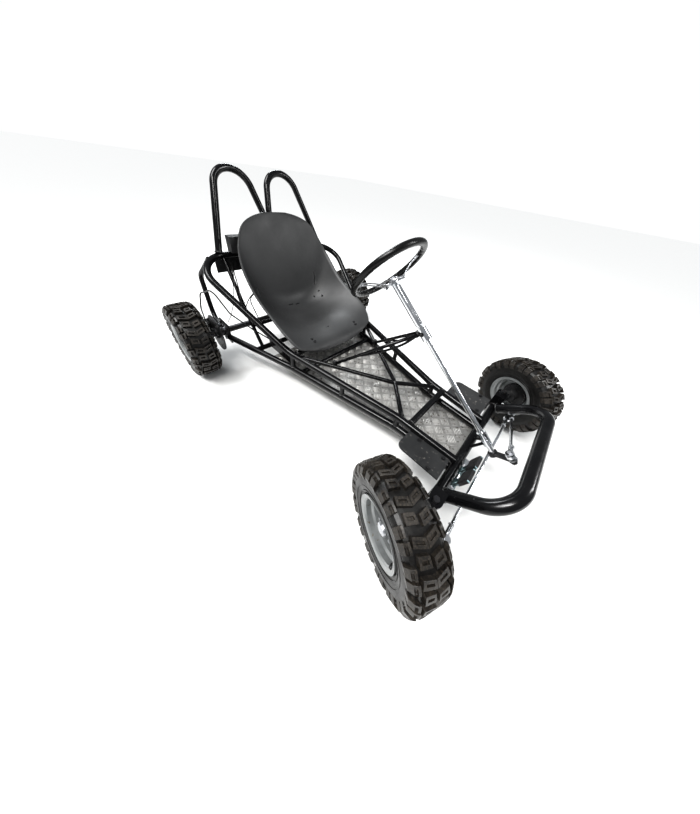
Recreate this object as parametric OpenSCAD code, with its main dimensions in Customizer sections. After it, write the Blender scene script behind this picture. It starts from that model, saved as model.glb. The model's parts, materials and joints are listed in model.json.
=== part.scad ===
// Off-road go-kart: tube chassis, shell seat, direct steering, live rear axle with
// a chain drive, one disc brake and two foot pedals.
// +X is forward, +Y is the driver's left, +Z is up. The origin is on the ground,
// under the middle of the whole kart.

/* [Layout] */
// Distance between the front kingpins and the rear axle
wheelbase = 1144; // [1100:1:1200]
// Half the distance between the two kingpins
kingpin_y = 300; // [290:1:320]
// From a kingpin out to the middle of the front tyre
scrub = 121; // [115:1:130]
// From the centre line to the middle of a rear tyre
rear_tyre_y = 504; // [495:1:530]
// Angle that the front wheels stand turned to the driver's right
steer_rest = 24; // [10:1:30]

/* [Wheels] */
// Outer diameter of the tyres over the lugs
tyre_d = 335; // [320:1:345]
// Width of the tyres
tyre_w = 112; // [108:1:118]
// Diameter of the rim flanges
rim_d = 176; // [172:1:180]
// Diameter of the rear axle
axle_d = 30; // [25:1:32]

/* [Chassis] */
// Diameter of the main frame tube
frame_d = 28; // [25:1:32]
// Diameter of the bumper tube
bumper_d = 38; // [32:1:42]
// Diameter of the light bracing tubes
brace_d = 18; // [14:1:22]
// Thickness of the floor plate
floor_t = 3; // [2:0.5:4]
// Height of the floor plate's underside above the ground
floor_z = 108; // [100:1:112]

/* [Steering] */
// Diameter of the steering wheel across the middle of its rim
wheel_ring_d = 266; // [250:1:300]
// Thickness of the steering wheel's rim
wheel_grip_d = 23; // [20:1:28]
// Length of the steering arms and of the pitman arm
arm_len = 78; // [70:1:85]
// Slope of the steering column below the horizontal
column_slope = 36.4; // [34:0.1:39]

/* [Seat] */
// Thickness of the seat shell
seat_t = 5; // [4:0.5:8]

/* [Hidden] */
$fn = 48;

tyre_r = tyre_d / 2;
front_x = wheelbase / 2 - 5.8;    // kingpin line; it puts the middle of the kart at x = 0
rear_x = front_x - wheelbase;     // rear axle line
beam_z = 150;                     // front axle beam
hub_z = tyre_r;                   // every wheel centre
stub_r = 10;                      // front stub axle
pin_r = 6;                        // kingpin
stud_r = 5;                       // ball stud
fit = 0.05;                       // radial clearance of a running fit
open_fit = 3.4;                   // radial clearance at the open end of the drag link
tie_z = 132;                      // eyes of the tie rod
drag_z = 166;                     // lower eye of the drag link
arm_z = 152;                      // steering arms
spoke_angles = [90, 210, 330];
sides = [-1, 1];

// Upper rail and rear loop, left half, from the front end to the rear corner
rail_front = [front_x - 10, 120, 172];
rail_waist = [front_x - 235, 132, 180];
rail_kick = [rear_x + 384, 248, 212];
loop_corner = [rear_x - 81, 397, 484];

// Lower rail, left half
low_front = [front_x - 4, 120, 125];
low_waist = [front_x - 235, 132, 125];
low_kick = [rear_x + 384, 244, 125];
low_rear = [rear_x + 20, 362, 142];

// Steering column: foot at the pitman arm, and unit vectors down it and across it
column_foot = [front_x + 72, 0, 180];
column_len = 662;
down = [cos(column_slope), 0, -sin(column_slope)];
across = [sin(column_slope), 0, cos(column_slope)];

// Rear axle set and drive
disc_y = -402;
disc_r = 88;
sprocket_y = 150;
motor_x = rear_x - 122;
motor_z = 192;
axle_teeth = 44;
motor_teeth = 11;
chain_pitch = 12.7;
axle_pitch_r = axle_teeth * chain_pitch / (2 * PI);
motor_pitch_r = motor_teeth * chain_pitch / (2 * PI);
tray_y = 95;                      // rails under the battery
tray_z = 262;
hanger_y = [-112, 148];

// Pedals
pedal_x = 26;
pedal_z = 116;
brake_y = -97;
throttle_y = -157;

bend_swell = 0.3;                 // a bend is this much thicker than the straight tube
bend_lap = 1.5;                   // a straight tube reaches this far into a bend

function unit(v) = v / norm(v);
function mirror_y(p) = [p[0], -p[1], p[2]];
function at(x, y, z) = [front_x + x, y, z];
function behind(x, y, z) = [rear_x + x, y, z];
function flat2(list) = [for (sub = list) for (item = sub) item];

// ---------- building blocks ----------

// A straight round bar from a to b
module rod(a, b, d) {
    v = b - a;
    translate(a)
        rotate([0, acos(v[2] / norm(v)), atan2(v[1], v[0])])
            cylinder(h = norm(v), d = d);
}

// A round bar along Y between y0 and y1
module bar_y(x, z, y0, y1, d) {
    translate([x, y0, z]) rotate([-90, 0, 0]) cylinder(h = y1 - y0, d = d);
}

function corner_trim(a, b, c, r) = r * tan((180 - acos(unit(a - b) * unit(c - b))) / 2);

// One bend of radius r at b, between the legs towards a and c
module elbow(a, b, c, d, r) {
    ua = unit(a - b);
    uc = unit(c - b);
    turn = 180 - acos(ua * uc);
    centre = b + unit(ua + uc) * r / cos(turn / 2);
    start = b + ua * corner_trim(a, b, c, r);
    ex = unit(start - centre);
    ey = -ua;
    ez = cross(ex, ey);
    multmatrix([
        [ex[0], ey[0], ez[0], centre[0]],
        [ex[1], ey[1], ez[1], centre[1]],
        [ex[2], ey[2], ez[2], centre[2]],
        [0, 0, 0, 1]])
        rotate_extrude(angle = turn, $fn = 96)
            translate([r, 0]) circle(d = d + bend_swell, $fn = 32);
}

// A bent round tube along points, with one bend radius for each inner point
module bent_tube(pts, d, bends) {
    last = len(pts) - 1;
    trims = [for (i = [0 : last])
        (i == 0 || i == last) ? 0 : corner_trim(pts[i - 1], pts[i], pts[i + 1], bends[i - 1])];
    for (i = [0 : last - 1]) {
        dir = unit(pts[i + 1] - pts[i]);
        from = trims[i] - (i > 0 ? bend_lap : 0);
        to = trims[i + 1] - (i + 1 < last ? bend_lap : 0);
        rod(pts[i] + dir * from, pts[i + 1] - dir * to, d);
    }
    for (i = [1 : last - 1])
        elbow(pts[i - 1], pts[i], pts[i + 1], d, bends[i - 1]);
}

// Local +Y leads outwards along the axle of a wheel; the kingpin is the origin
module at_knuckle(side) {
    translate([front_x, side * kingpin_y, 0])
        rotate([0, 0, -steer_rest])
            mirror([0, side < 0 ? 1 : 0, 0]) children();
}

// The same for a wheel: its centre is the origin
module at_front_wheel(side) {
    at_knuckle(side) translate([0, scrub, hub_z]) children();
}

module at_rear_wheel(side) {
    translate([rear_x, side * rear_tyre_y, hub_z])
        mirror([0, side < 0 ? 1 : 0, 0]) children();
}

// Turns a profile of [radius, y] about the Y axis
module turn_y() {
    rotate([-90, 0, 0]) rotate_extrude($fn = 96) children();
}

// Local +Z leads down the steering column and +X back across it; the wheel hub is the origin
module at_column(along = 0) {
    translate(column_foot - down * (column_len - along))
        rotate([0, 90 + column_slope, 0]) children();
}

// ---------- chassis ----------

module main_frame() {
    half = [rail_front, rail_waist, rail_kick, loop_corner];
    path = concat([for (i = [0 : 3]) mirror_y(half[i])], [for (i = [3 : -1 : 0]) half[i]]);
    color("#111214") bent_tube(path, frame_d, [300, 150, 105, 105, 150, 300]);
}

module lower_rails() {
    color("#141517")
        on_both_sides() bent_tube([low_front, low_waist, low_kick, low_rear], frame_d, [300, 200]);
}

// Everything upright on the lower rails, each a solid of its own: posts up to the upper rails,
// plates that carry the rear axle bearings and plates in front of the seat struts
module frame_uprights() {
    color("#141517") on_both_sides() {
        for (top = [at(-235, 132, 180), at(-480, 186, 196), at(-745, 241, 206)])
            rod([top[0], top[1], 118], top, 20);
        difference() {
            translate([rear_x - 50, 356, 118]) cube([100, 8, 96]);
            bar_y(rear_x, hub_z, 350, 370, 44);
        }
        translate([rear_x + 200, 236, 139]) cube([180, 4, 66]);
    }
}

// Bars across the frame; the last two carry the seat's back and its front screws
module frame_crossbars() {
    color("#141517") {
        bar_y(front_x - 188, 184, -128, 128, 24);
        bar_y(front_x - 700, 125, -232, 232, 20);
        bar_y(rear_x + 190, 134, -300, 300, 24);
        bar_y(rear_x + 104, 213, -266, 266, 18);
        on_both_sides() rod(behind(88, 262, 252), behind(104, 262, 213), 16);
        bar_y(front_x - 728, 217, -238, 238, 22);
        on_both_sides() translate(at(-728, 133, 224)) cylinder(h = 7, d = 26);
    }
}

module on_both_sides() {
    for (s = sides) on_side(s) children();
}

module on_side(s) {
    mirror([0, s < 0 ? 1 : 0, 0]) children();
}

module x_brace() {
    middle = at(-351, 0, 187);
    color("#17181a")
        for (s = sides)
            bent_tube([at(-712, s * 218, 200), middle + [0, 0, s], at(-232, -s * 118, 183)],
                brace_d, [60]);
}

module column_support() {
    top = column_foot - down * 470;
    color("#121315") {
        for (s = sides) {
            rod(at(-585, s * 135, 206), top + [-14, s * 20, -6], 13);
            rod(at(-560, s * 112, 262), top + [-20, s * 26, -30], 9);
            translate(at(-585, s * 135, 190)) cylinder(h = 24, d = 20);
        }
    }
}

module floor_plate() {
    edge = [[front_x - 14, 128], [front_x - 235, 141], [rear_x + 384, 253], [rear_x + 250, 285]];
    outline = concat(edge, [for (i = [3 : -1 : 0]) [edge[i][0], -edge[i][1]]]);
    color("#b9bbbd")
        translate([0, 0, floor_z]) linear_extrude(floor_t) polygon(outline);
}

module rear_hoops() {
    color("#101113") on_both_sides()
        bent_tube([behind(-74, 277, 494), behind(-276, 109, 999),
            behind(-134, 17, 640), behind(-76, 17, 492)], frame_d, [82, 60]);
}

module rear_drop_tubes() {
    color("#141517") on_both_sides()
        bent_tube([behind(-78, 322, 476), behind(-172, 352, 380), behind(-160, 352, 185),
            behind(-44, 366, 150)], 22, [60, 70]);
}

module rear_panel() {
    color("#151617")
        translate([loop_corner[0] - 2, -300, 412]) cube([4, 600, 62]);
}

module front_bumper() {
    path = [at(14, -243, 166), at(148, -232, 292), at(148, 232, 292), at(14, 243, 166)];
    color("#0e0f10") bent_tube(path, bumper_d, [88, 88]);
}

module front_axle_beam() {
    color("#151618") {
        bar_y(front_x, beam_z, -263, 263, 32);
        on_both_sides() fork();
        for (y = [-26, 26])
            rod(at(4, y, 160), column_foot - down * 52 + [0, y * 0.42, -8], 10);
    }
}

// Fork that holds a kingpin
module fork() {
    difference() {
        union() {
            translate(at(-20, 262, 122)) cube([40, 7, 90]);
            for (z = [122, 203])
                translate([0, 0, z]) {
                    translate(at(-20, 262, 0)) cube([40, 38, 9]);
                    translate(at(0, kingpin_y, 0)) cylinder(h = 9, r = 20);
                }
        }
        translate(at(0, kingpin_y, 110)) cylinder(h = 120, r = pin_r);
    }
}

module kingpins() {
    color("#b8bcc0")
        for (s = sides) translate(at(0, s * kingpin_y, 0)) {
            translate([0, 0, 116]) cylinder(h = 102, r = pin_r);
            translate([0, 0, 212]) cylinder(h = 9, r = 10, $fn = 6);
            translate([0, 0, 112]) cylinder(h = 10, r = 10, $fn = 6);
        }
}

module foot_guards() {
    color("#3a3c3e") on_both_sides()
        translate(at(-22, 134, 171)) rotate([10, 0, 0])
            linear_extrude(4) foot_guard_outline();
}

module foot_guard_outline() {
    corner = 26;
    size = [152, 104];
    translate([-size[0], 6]) square([size[0], 60]);
    translate([corner - size[0], 0]) square([size[0] - corner, size[1]]);
    translate([corner - size[0], size[1] - corner]) circle(corner);
    translate([-size[0], 40]) square([60, size[1] - corner - 40]);
}

// ---------- seat ----------

// Stations from the front lip to the top: [centre x, centre z, edge x, edge half-width, edge z],
// with x measured forward from the rear axle
seat_stations = [
    [458, 203, 454, 112, 208], [444, 221, 444, 188, 232], [418, 234, 422, 226, 250],
    [354, 238, 354, 248, 296], [264, 235, 260, 249, 331], [174, 232, 180, 249, 365],
    [96, 240, 124, 248, 402], [54, 276, 78, 245, 445], [33, 340, 46, 239, 478],
    [12, 430, 19, 229, 512], [-11, 520, -4, 212, 552], [-34, 595, -28, 178, 604],
    [-50, 636, -50, 125, 632], [-57, 650, -58, 62, 645]
];
seat_cols = 18;
seat_curl = 2.6;

function seat_point(row, col) =
    let (s = seat_stations[row], t = 2 * col / seat_cols - 1, k = pow(abs(t), seat_curl))
    [rear_x + s[0] + (s[2] - s[0]) * k, s[3] * t, s[1] + (s[4] - s[1]) * k];

function seat_normal(row, col) =
    let (n = len(seat_stations) - 1,
        along = seat_point(min(row + 1, n), col) - seat_point(max(row - 1, 0), col),
        over = seat_point(row, min(col + 1, seat_cols)) - seat_point(row, max(col - 1, 0)))
    unit(cross(along, over));

module seat_shell() {
    rows = len(seat_stations);
    cols = seat_cols + 1;
    top = [for (r = [0 : rows - 1]) for (c = [0 : seat_cols]) seat_point(r, c)];
    under = [for (r = [0 : rows - 1]) for (c = [0 : seat_cols])
        seat_point(r, c) + seat_normal(r, c) * seat_t];
    shift = rows * cols;
    grid = [for (r = [0 : rows - 2]) for (c = [0 : seat_cols - 1]) [r * cols + c, r, c]];
    upper = flat2([for (g = grid) [[g[0], g[0] + 1, g[0] + cols],
        [g[0] + 1, g[0] + cols + 1, g[0] + cols]]]);
    lower = [for (f = upper) [f[2] + shift, f[1] + shift, f[0] + shift]];
    rim = concat(
        [for (c = [0 : seat_cols - 1]) [c, c + 1]],
        [for (r = [0 : rows - 2]) [r * cols + seat_cols, (r + 1) * cols + seat_cols]],
        [for (c = [seat_cols : -1 : 1]) [(rows - 1) * cols + c, (rows - 1) * cols + c - 1]],
        [for (r = [rows - 1 : -1 : 1]) [r * cols, (r - 1) * cols]]);
    wall = flat2([for (e = rim) [[e[1], e[0], e[0] + shift], [e[1], e[0] + shift, e[1] + shift]]]);
    color("#3f4143") polyhedron(points = concat(top, under), faces = concat(upper, lower, wall));
}

module seat_struts() {
    color("#141516") on_both_sides()
        bent_tube([behind(-78, 262, 476), behind(88, 272, 262), behind(190, 272, 134)], 16, [80]);
}

module seat_screws() {
    color("#8d9094")
        for (s = sides) translate(at(-728, s * 133, 240)) cylinder(h = 4, d = 16);
}

// ---------- steering ----------

// The clamp bush at the stays and the one by the front crossbar
module column_bushes() {
    color("#c9ccd0") {
        at_column(column_len - 470 - 24) bush(48, 34, 9 + fit);
        at_column(column_len - 84) bush(50, 30, 9 + fit);
    }
}

module bush(h, d, bore_r) {
    difference() {
        cylinder(h = h, d = d);
        translate([0, 0, -1]) cylinder(h = h + 2, r = bore_r);
    }
}

module steering_column() {
    color("#d3d6da") at_column() {
        translate([0, 0, -6]) cylinder(h = column_len + 14, r = 9);
        cylinder(h = 160, d = 26);
        translate([0, 0, -2]) cylinder(h = 5, r = 36);
    }
}

module at_wheel_plane() {
    at_column(-52) children();
}

module steering_wheel_ring() {
    color("#0d0e0f") at_wheel_plane()
        rotate_extrude($fn = 96) translate([wheel_ring_d / 2, 0]) circle(d = wheel_grip_d);
}

module steering_wheel_spokes() {
    tilt = atan2(47, wheel_ring_d / 2 - 34);
    color("#c4c7ca") at_column() {
        translate([0, 0, -5]) cylinder(h = 3, r = 36);
        for (a = spoke_angles) rotate([0, 0, a])
            translate([32, -13, -5]) rotate([0, tilt, 0])
                cube([norm([47, wheel_ring_d / 2 - 34]) - 9, 26, 3]);
    }
}

module spoke_screws() {
    color("#9ea2a6") at_column()
        for (a = spoke_angles) rotate([0, 0, a + 60]) translate([25, 0, -9])
            cylinder(h = 4, r = 5, $fn = 6);
}

module pitman_arm() {
    color("#1a1b1d") at_column(column_len) rotate([0, 0, steer_rest - 180]) {
        translate([0, 0, -6]) cylinder(h = 14, r = 15);
        translate([0, -9, -4]) cube([arm_len, 18, 8]);
        translate([arm_len, 0, -4]) cylinder(h = 8, r = 12);
        translate([arm_len, 0, -24]) cylinder(h = 34, r = 4);
        translate([arm_len, 0, -28]) cylinder(h = 5, r = 10);
        translate([arm_len, 0, 4]) cylinder(h = 8, r = 9, $fn = 6);
    }
}

module knuckle(studs_top) {
    color("#1b1c1e") difference() {
        union() {
            translate([0, 0, 131.5]) cylinder(h = 71, r = 14);
            translate([0, 8, hub_z]) rotate([-90, 0, 0]) cylinder(h = 46, r = 16);
            translate([0, 30, hub_z]) rotate([-90, 0, 0]) cylinder(h = scrub - 12, r = stub_r);
            translate([0, -8, arm_z - 4]) cube([arm_len, 16, 8]);
            translate([arm_len, 0, arm_z - 4]) cylinder(h = 8, r = 11);
            translate([arm_len, 0, tie_z - 12]) cylinder(h = studs_top - tie_z + 12, r = stud_r);
        }
        translate([0, 0, 110]) cylinder(h = 120, r = pin_r + fit);
    }
}

module left_knuckle() {
    at_knuckle(1) knuckle(drag_z + 12);
}

module right_knuckle() {
    at_knuckle(-1) knuckle(arm_z + 8);
}

function ball(side, z) = at(arm_len * cos(steer_rest),
    side * kingpin_y - arm_len * sin(steer_rest), z);
pitman_tip = column_foot + arm_len * (cos(steer_rest) * across - sin(steer_rest) * [0, 1, 0]);
drag_eye = pitman_tip - down * 14;

// Eye of a rod end with its bore along Z
module eye(bore_r, wall = 8, h = 10) {
    difference() {
        translate([0, 0, -h / 2]) cylinder(h = h, r = bore_r + wall);
        translate([0, 0, -h / 2 - 1]) cylinder(h = h + 2, r = bore_r);
    }
}

module tie_rod() {
    right = ball(-1, tie_z);
    left = ball(1, tie_z);
    color("#cfd3d7") {
        translate(right) eye(stud_r + fit);
        translate(left) eye(stud_r + 0.4);
        rod(right + [0, 12, 0], left - [0, 12, 0], 11);
        rod(right + [0, 24, 0], right + [0, 48, 0], 15);
        rod(left - [0, 48, 0], left - [0, 24, 0], 15);
    }
}

module drag_link() {
    lower = ball(1, drag_z);
    dir = unit(drag_eye - lower);
    color("#cfd3d7") {
        translate(lower) eye(stud_r + fit);
        translate(drag_eye) rotate([0, 90 + column_slope, 0]) eye(4 + open_fit, 6, 9);
        rod(lower + dir * 12, drag_eye - dir * 12, 11);
        rod(lower + dir * 24, lower + dir * 48, 15);
        rod(drag_eye - dir * 48, drag_eye - dir * 24, 15);
    }
}

// ---------- wheels ----------

// Half of the tyre's outline as [radius, y], from the bead over the shoulder
tyre_outside = [[-77, 43.5], [-70, 50], [-45, 55.5], [-22, 55.5], [-10, 51], [-2, 41], [0, 28]];
tyre_inside = [[-11, 28], [-19, 42], [-32, 46.5], [-55, 46], [-72, 38], [-91, 30]];

module tyre() {
    side = concat([[rim_d / 2 - 11.7, 43.5]],
        [for (p = tyre_outside) [tyre_r + p[0], p[1] * tyre_w / 112]]);
    hollow = [for (p = tyre_inside) [tyre_r + p[0], p[1]]];
    outline = concat(side, [for (i = [len(side) - 1 : -1 : 0]) [side[i][0], -side[i][1]]],
        [for (i = [len(hollow) - 1 : -1 : 0]) [hollow[i][0], -hollow[i][1]]], hollow);
    color("#1d1c1a") turn_y() polygon(outline);
}

module rim() {
    f = rim_d / 2;
    outline = [
        [f, 50], [f, 46.5], [f - 9, 44], [f - 12, 40], [f - 12, 26], [f - 18, 20], [f - 18, -20],
        [f - 12, -26], [f - 12, -40], [f - 9, -44], [f, -46.5], [f, -50], [f - 11, -47],
        [f - 15, -42], [f - 15, -27], [f - 21, -21], [f - 21, -4], [24, -4], [24, 0],
        [f - 30, 0], [f - 21, 6], [f - 21, 21], [f - 15, 27], [f - 15, 42], [f - 11, 47]
    ];
    color("#c9cbcc") difference() {
        turn_y() polygon(outline);
        for (a = [45 : 90 : 315])
            rotate([0, a, 0]) translate([38, -10, 0]) rotate([-90, 0, 0]) cylinder(h = 20, r = 5);
    }
}

// Hub on the stub axle, with its flange behind the rim's disc
module front_hub() {
    color("#303235") difference() {
        turn_y() polygon([[0, -46], [22, -46], [22, -12], [50, -12], [50, -4], [24, -4],
            [24, 14], [20, 26], [0, 26]]);
        translate([0, -50, 0]) rotate([-90, 0, 0]) cylinder(h = 70, r = stub_r + fit);
    }
}

// Four wheel nuts on their studs, outboard of the rim's disc
module wheel_nuts() {
    color("#202224")
        for (a = [45 : 90 : 315]) rotate([0, a, 0]) translate([38, 0, 0]) rotate([-90, 0, 0]) {
            translate([0, 0, -12]) cylinder(h = 26, r = 4.5);
            cylinder(h = 8, r = 8.5, $fn = 6);
        }
}

module front_left_tyre() { at_front_wheel(1) tyre(); }
module front_left_rim() { at_front_wheel(1) rim(); }
module front_left_hub() { at_front_wheel(1) front_hub(); }
module front_left_nuts() { at_front_wheel(1) wheel_nuts(); }
module front_right_tyre() { at_front_wheel(-1) tyre(); }
module front_right_rim() { at_front_wheel(-1) rim(); }
module front_right_hub() { at_front_wheel(-1) front_hub(); }
module front_right_nuts() { at_front_wheel(-1) wheel_nuts(); }
module rear_left_tyre() { at_rear_wheel(1) tyre(); }
module rear_left_rim() { at_rear_wheel(1) rim(); }
module rear_right_tyre() { at_rear_wheel(-1) tyre(); }
module rear_right_rim() { at_rear_wheel(-1) rim(); }

module rear_wheel_nuts() {
    for (s = sides) at_rear_wheel(s) wheel_nuts();
}

module rear_axle() {
    color("#9a9da0") bar_y(rear_x, hub_z, -rear_tyre_y - 12, rear_tyre_y + 12, axle_d);
}

module rear_hubs() {
    color("#3a3c3f") for (s = sides) at_rear_wheel(s) difference() {
        turn_y() polygon([[0, -60], [24, -60], [24, -12], [50, -12], [50, -4], [24, -4],
            [24, 8], [0, 8]]);
        translate([0, -70, 0]) rotate([-90, 0, 0]) cylinder(h = 90, d = axle_d);
    }
    color("#b08d3e") for (s = sides) at_rear_wheel(s) turn_y()
        polygon([[axle_d / 2, 8], [22, 8], [20, 18], [axle_d / 2, 18]]);
}

// ---------- rear axle, brake and drive ----------

module axle_bearings() {
    color("#6f7377") on_both_sides() difference() {
        union() {
            translate([rear_x, 364, hub_z]) rotate([-90, 0, 0]) cylinder(h = 8, r = 38);
            translate([rear_x, 356, hub_z]) rotate([-90, 0, 0]) cylinder(h = 30, r = 22);
        }
        bar_y(rear_x, hub_z, 340, 400, axle_d + 2 * fit);
    }
}

module brake_disc() {
    color("#b4b7ba") translate([rear_x, disc_y, hub_z]) rotate([-90, 0, 0]) difference() {
        union() {
            translate([0, 0, -2]) cylinder(h = 4, r = disc_r);
            translate([0, 0, -12]) cylinder(h = 22, r = 26);
        }
        translate([0, 0, -20]) cylinder(h = 40, d = axle_d);
        for (a = [0 : 30 : 330]) rotate([0, 0, a]) translate([64 + 8 * (a / 30 % 2), 0, -5])
            cylinder(h = 10, r = 4.5);
    }
}

// Caliper astride the disc's rear edge, on an arm from the axle plate
module brake_caliper() {
    color("#1d1e20") translate([rear_x, disc_y, hub_z]) {
        difference() {
            translate([-112, -20, -26]) cube([58, 40, 52]);
            translate([-100, -3, -40]) cube([60, 6, 80]);
        }
        translate([-84, 20, -8]) cube([40, 18.5, 16]);
    }
}

module brake_cable() {
    route = [at(6, -98, 127), at(-80, -98, 126), at(-240, -102, 128), at(-700, -206, 152),
        behind(190, -226, 161), behind(158, -290, 226), behind(98, -352, 300),
        behind(70, -388, 405), behind(-62, -402, 345), behind(-94, -412, 262),
        behind(-86, -414, 190)];
    color("#0b0b0c") bent_tube(route, 6, [200, 200, 100, 30, 40, 40, 30, 50, 60]);
}

module throttle_cable() {
    route = [at(6, -142, 117), at(6, -84, 117), at(-90, -84, 117), at(-240, -88, 122),
        at(-700, -188, 152), behind(190, -196, 160), behind(60, -206, 190),
        behind(-30, -206, 290), behind(-60, -94, 312)];
    color("#0b0b0c") bent_tube(route, 5, [14, 200, 200, 200, 100, 60, 50]);
}

module toothed_wheel(teeth, pitch_r, h, bore_d) {
    difference() {
        union() {
            cylinder(h = h, r = pitch_r - 4);
            for (i = [0 : teeth - 1]) rotate([0, 0, 360 * i / teeth])
                translate([pitch_r - 5, -2, 0]) cube([6.5, 4, h]);
        }
        translate([0, 0, -1]) cylinder(h = h + 2, d = bore_d);
    }
}

module axle_sprocket() {
    color("#8f9398") translate([rear_x, sprocket_y - 2, hub_z]) rotate([-90, 0, 0]) {
        toothed_wheel(axle_teeth, axle_pitch_r, 4, axle_d);
        difference() {
            translate([0, 0, -14]) cylinder(h = 14, r = 28);
            translate([0, 0, -15]) cylinder(h = 17, d = axle_d);
        }
    }
}

module motor_sprocket() {
    color("#8f9398") translate([motor_x, sprocket_y - 2, motor_z]) rotate([-90, 0, 0]) {
        toothed_wheel(motor_teeth, motor_pitch_r, 4, 12);
        translate([0, 0, -22]) cylinder(h = 30, d = 12);
    }
}

// Plain loop that stands for the roller chain
module drive_chain() {
    gap = 3;
    turn = [[rear_x, hub_z, axle_pitch_r + gap], [motor_x, motor_z, motor_pitch_r + gap]];
    color("#4a4c4f") translate([0, sprocket_y + 4, 0]) rotate([90, 0, 0]) linear_extrude(8)
        difference() {
            offset(delta = 7) chain_area(turn);
            chain_area(turn);
        }
}

module chain_area(turn) {
    hull() for (t = turn) translate([t[0], t[1]]) circle(t[2], $fn = 64);
}

module motor() {
    color("#26282b") {
        bar_y(motor_x, motor_z, -30, 118, 112);
        bar_y(motor_x, motor_z, 118, 125.5, 60);
        bar_y(motor_x, motor_z, -38, -30, 70);
    }
}

// Two rails under the battery, hung from the rear loop, with the motor's plate below them
module motor_bracket() {
    color("#17181a") {
        for (s = sides)
            bent_tube([behind(-160, s * tray_y, tray_z), behind(10, s * tray_y, tray_z),
                behind(104, s * tray_y, 213)], 18, [60]);
        bar_y(rear_x - 162, tray_z, hanger_y[0] - 10, hanger_y[1] + 10, 23);
        for (y = hanger_y) rod(behind(-84, y, 474), behind(-162, y, tray_z), 15);
        translate([motor_x - 50, -tray_y, 247]) cube([100, 2 * tray_y, 9]);
    }
}

module battery_box() {
    color("#1a1b1c") translate([rear_x - 186, -95, tray_z + 9]) cube([164, 225, 114]);
}

module battery_lid() {
    color("#222325") translate([rear_x - 190, -99, tray_z + 123]) cube([172, 233, 14]);
}

module power_switch_box() {
    color("#0f1011") {
        translate([rear_x - 74, -236, 502]) cube([44, 92, 64]);
        translate([rear_x - 88, -215, 496]) cube([50, 50, 6]);
    }
}

// ---------- pedals ----------

module pedal_bracket() {
    color("#b9bcc0") for (y = [-62, -192]) difference() {
        translate(at(-6, y - 2, 104)) cube([44, 4, 40]);
        bar_y(front_x + pedal_x, pedal_z, y - 5, y + 5, 12);
    }
}

module pedal_pivot() {
    color("#c9ccd0") {
        bar_y(front_x + pedal_x, pedal_z, -200, -54, 12);
        bar_y(front_x + pedal_x, pedal_z, -205, -199, 18);
        bar_y(front_x + pedal_x, pedal_z, -55, -49, 18);
    }
}

module pedal(y) {
    x = front_x + pedal_x;
    difference() {
        bar_y(x, pedal_z, y - 14, y + 14, 22);
        bar_y(x, pedal_z, y - 20, y + 20, 12 + 2 * fit);
    }
    color("#7d8a8c") for (dy = [-11, 11])
        rod([x + 3, y + dy, pedal_z + 10], [x + 18, y + dy, pedal_z + 88], 8);
    color("#101113") translate([x + 13, y, pedal_z + 70]) rotate([0, 14, 0]) {
        translate([-4, -26, -24]) cube([9, 52, 48]);
    }
}

module brake_pedal() {
    color("#7d8a8c") pedal(brake_y);
}

module throttle_pedal() {
    color("#7d8a8c") pedal(throttle_y);
}

module pedal_springs() {
    color("#9fa3a7") for (y = [brake_y + 22, throttle_y - 22]) for (i = [0 : 4])
        translate([front_x + pedal_x, y + (i - 2) * 2.6, pedal_z]) rotate([90, 0, 0])
            rotate_extrude($fn = 32) translate([9, 0]) circle(r = 1.4, $fn = 12);
}

main_frame();
lower_rails();
frame_uprights();
frame_crossbars();
x_brace();
column_support();
floor_plate();
rear_hoops();
rear_drop_tubes();
rear_panel();
front_bumper();
front_axle_beam();
kingpins();
seat_struts();
seat_shell();
seat_screws();
foot_guards();
column_bushes();
steering_column();
steering_wheel_ring();
steering_wheel_spokes();
spoke_screws();
pitman_arm();
left_knuckle();
right_knuckle();
tie_rod();
drag_link();
front_left_tyre();
front_left_rim();
front_left_hub();
front_left_nuts();
front_right_tyre();
front_right_rim();
front_right_hub();
front_right_nuts();
rear_axle();
rear_hubs();
rear_left_tyre();
rear_left_rim();
rear_right_tyre();
rear_right_rim();
rear_wheel_nuts();
brake_disc();
axle_sprocket();
axle_bearings();
brake_caliper();
brake_cable();
throttle_cable();
motor();
motor_bracket();
motor_sprocket();
drive_chain();
battery_box();
battery_lid();
power_switch_box();
pedal_bracket();
pedal_pivot();
brake_pedal();
throttle_pedal();
pedal_springs();
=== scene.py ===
"""Looks of an off-road go-kart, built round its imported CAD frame. Metres, +X forward, +Y driver's left."""
import json
import math
import random

import bmesh
import bpy
from mathutils import Matrix, Vector


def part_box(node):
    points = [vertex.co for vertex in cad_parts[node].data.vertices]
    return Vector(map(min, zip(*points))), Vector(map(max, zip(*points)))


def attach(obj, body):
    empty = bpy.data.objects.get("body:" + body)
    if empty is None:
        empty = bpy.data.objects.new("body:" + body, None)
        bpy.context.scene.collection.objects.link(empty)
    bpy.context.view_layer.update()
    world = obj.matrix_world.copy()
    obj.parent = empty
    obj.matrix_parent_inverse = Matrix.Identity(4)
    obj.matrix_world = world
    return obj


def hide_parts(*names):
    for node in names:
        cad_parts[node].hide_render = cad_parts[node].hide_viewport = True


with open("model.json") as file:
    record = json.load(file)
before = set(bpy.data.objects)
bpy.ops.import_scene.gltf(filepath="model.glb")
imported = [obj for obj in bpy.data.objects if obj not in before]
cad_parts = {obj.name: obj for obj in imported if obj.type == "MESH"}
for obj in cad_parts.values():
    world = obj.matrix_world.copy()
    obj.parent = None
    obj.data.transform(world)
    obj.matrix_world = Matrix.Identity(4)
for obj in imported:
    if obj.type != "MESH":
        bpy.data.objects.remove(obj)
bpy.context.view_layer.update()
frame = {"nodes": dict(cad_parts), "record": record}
random.seed(7)
TAU = 2 * math.pi
MM = 0.001


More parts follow.
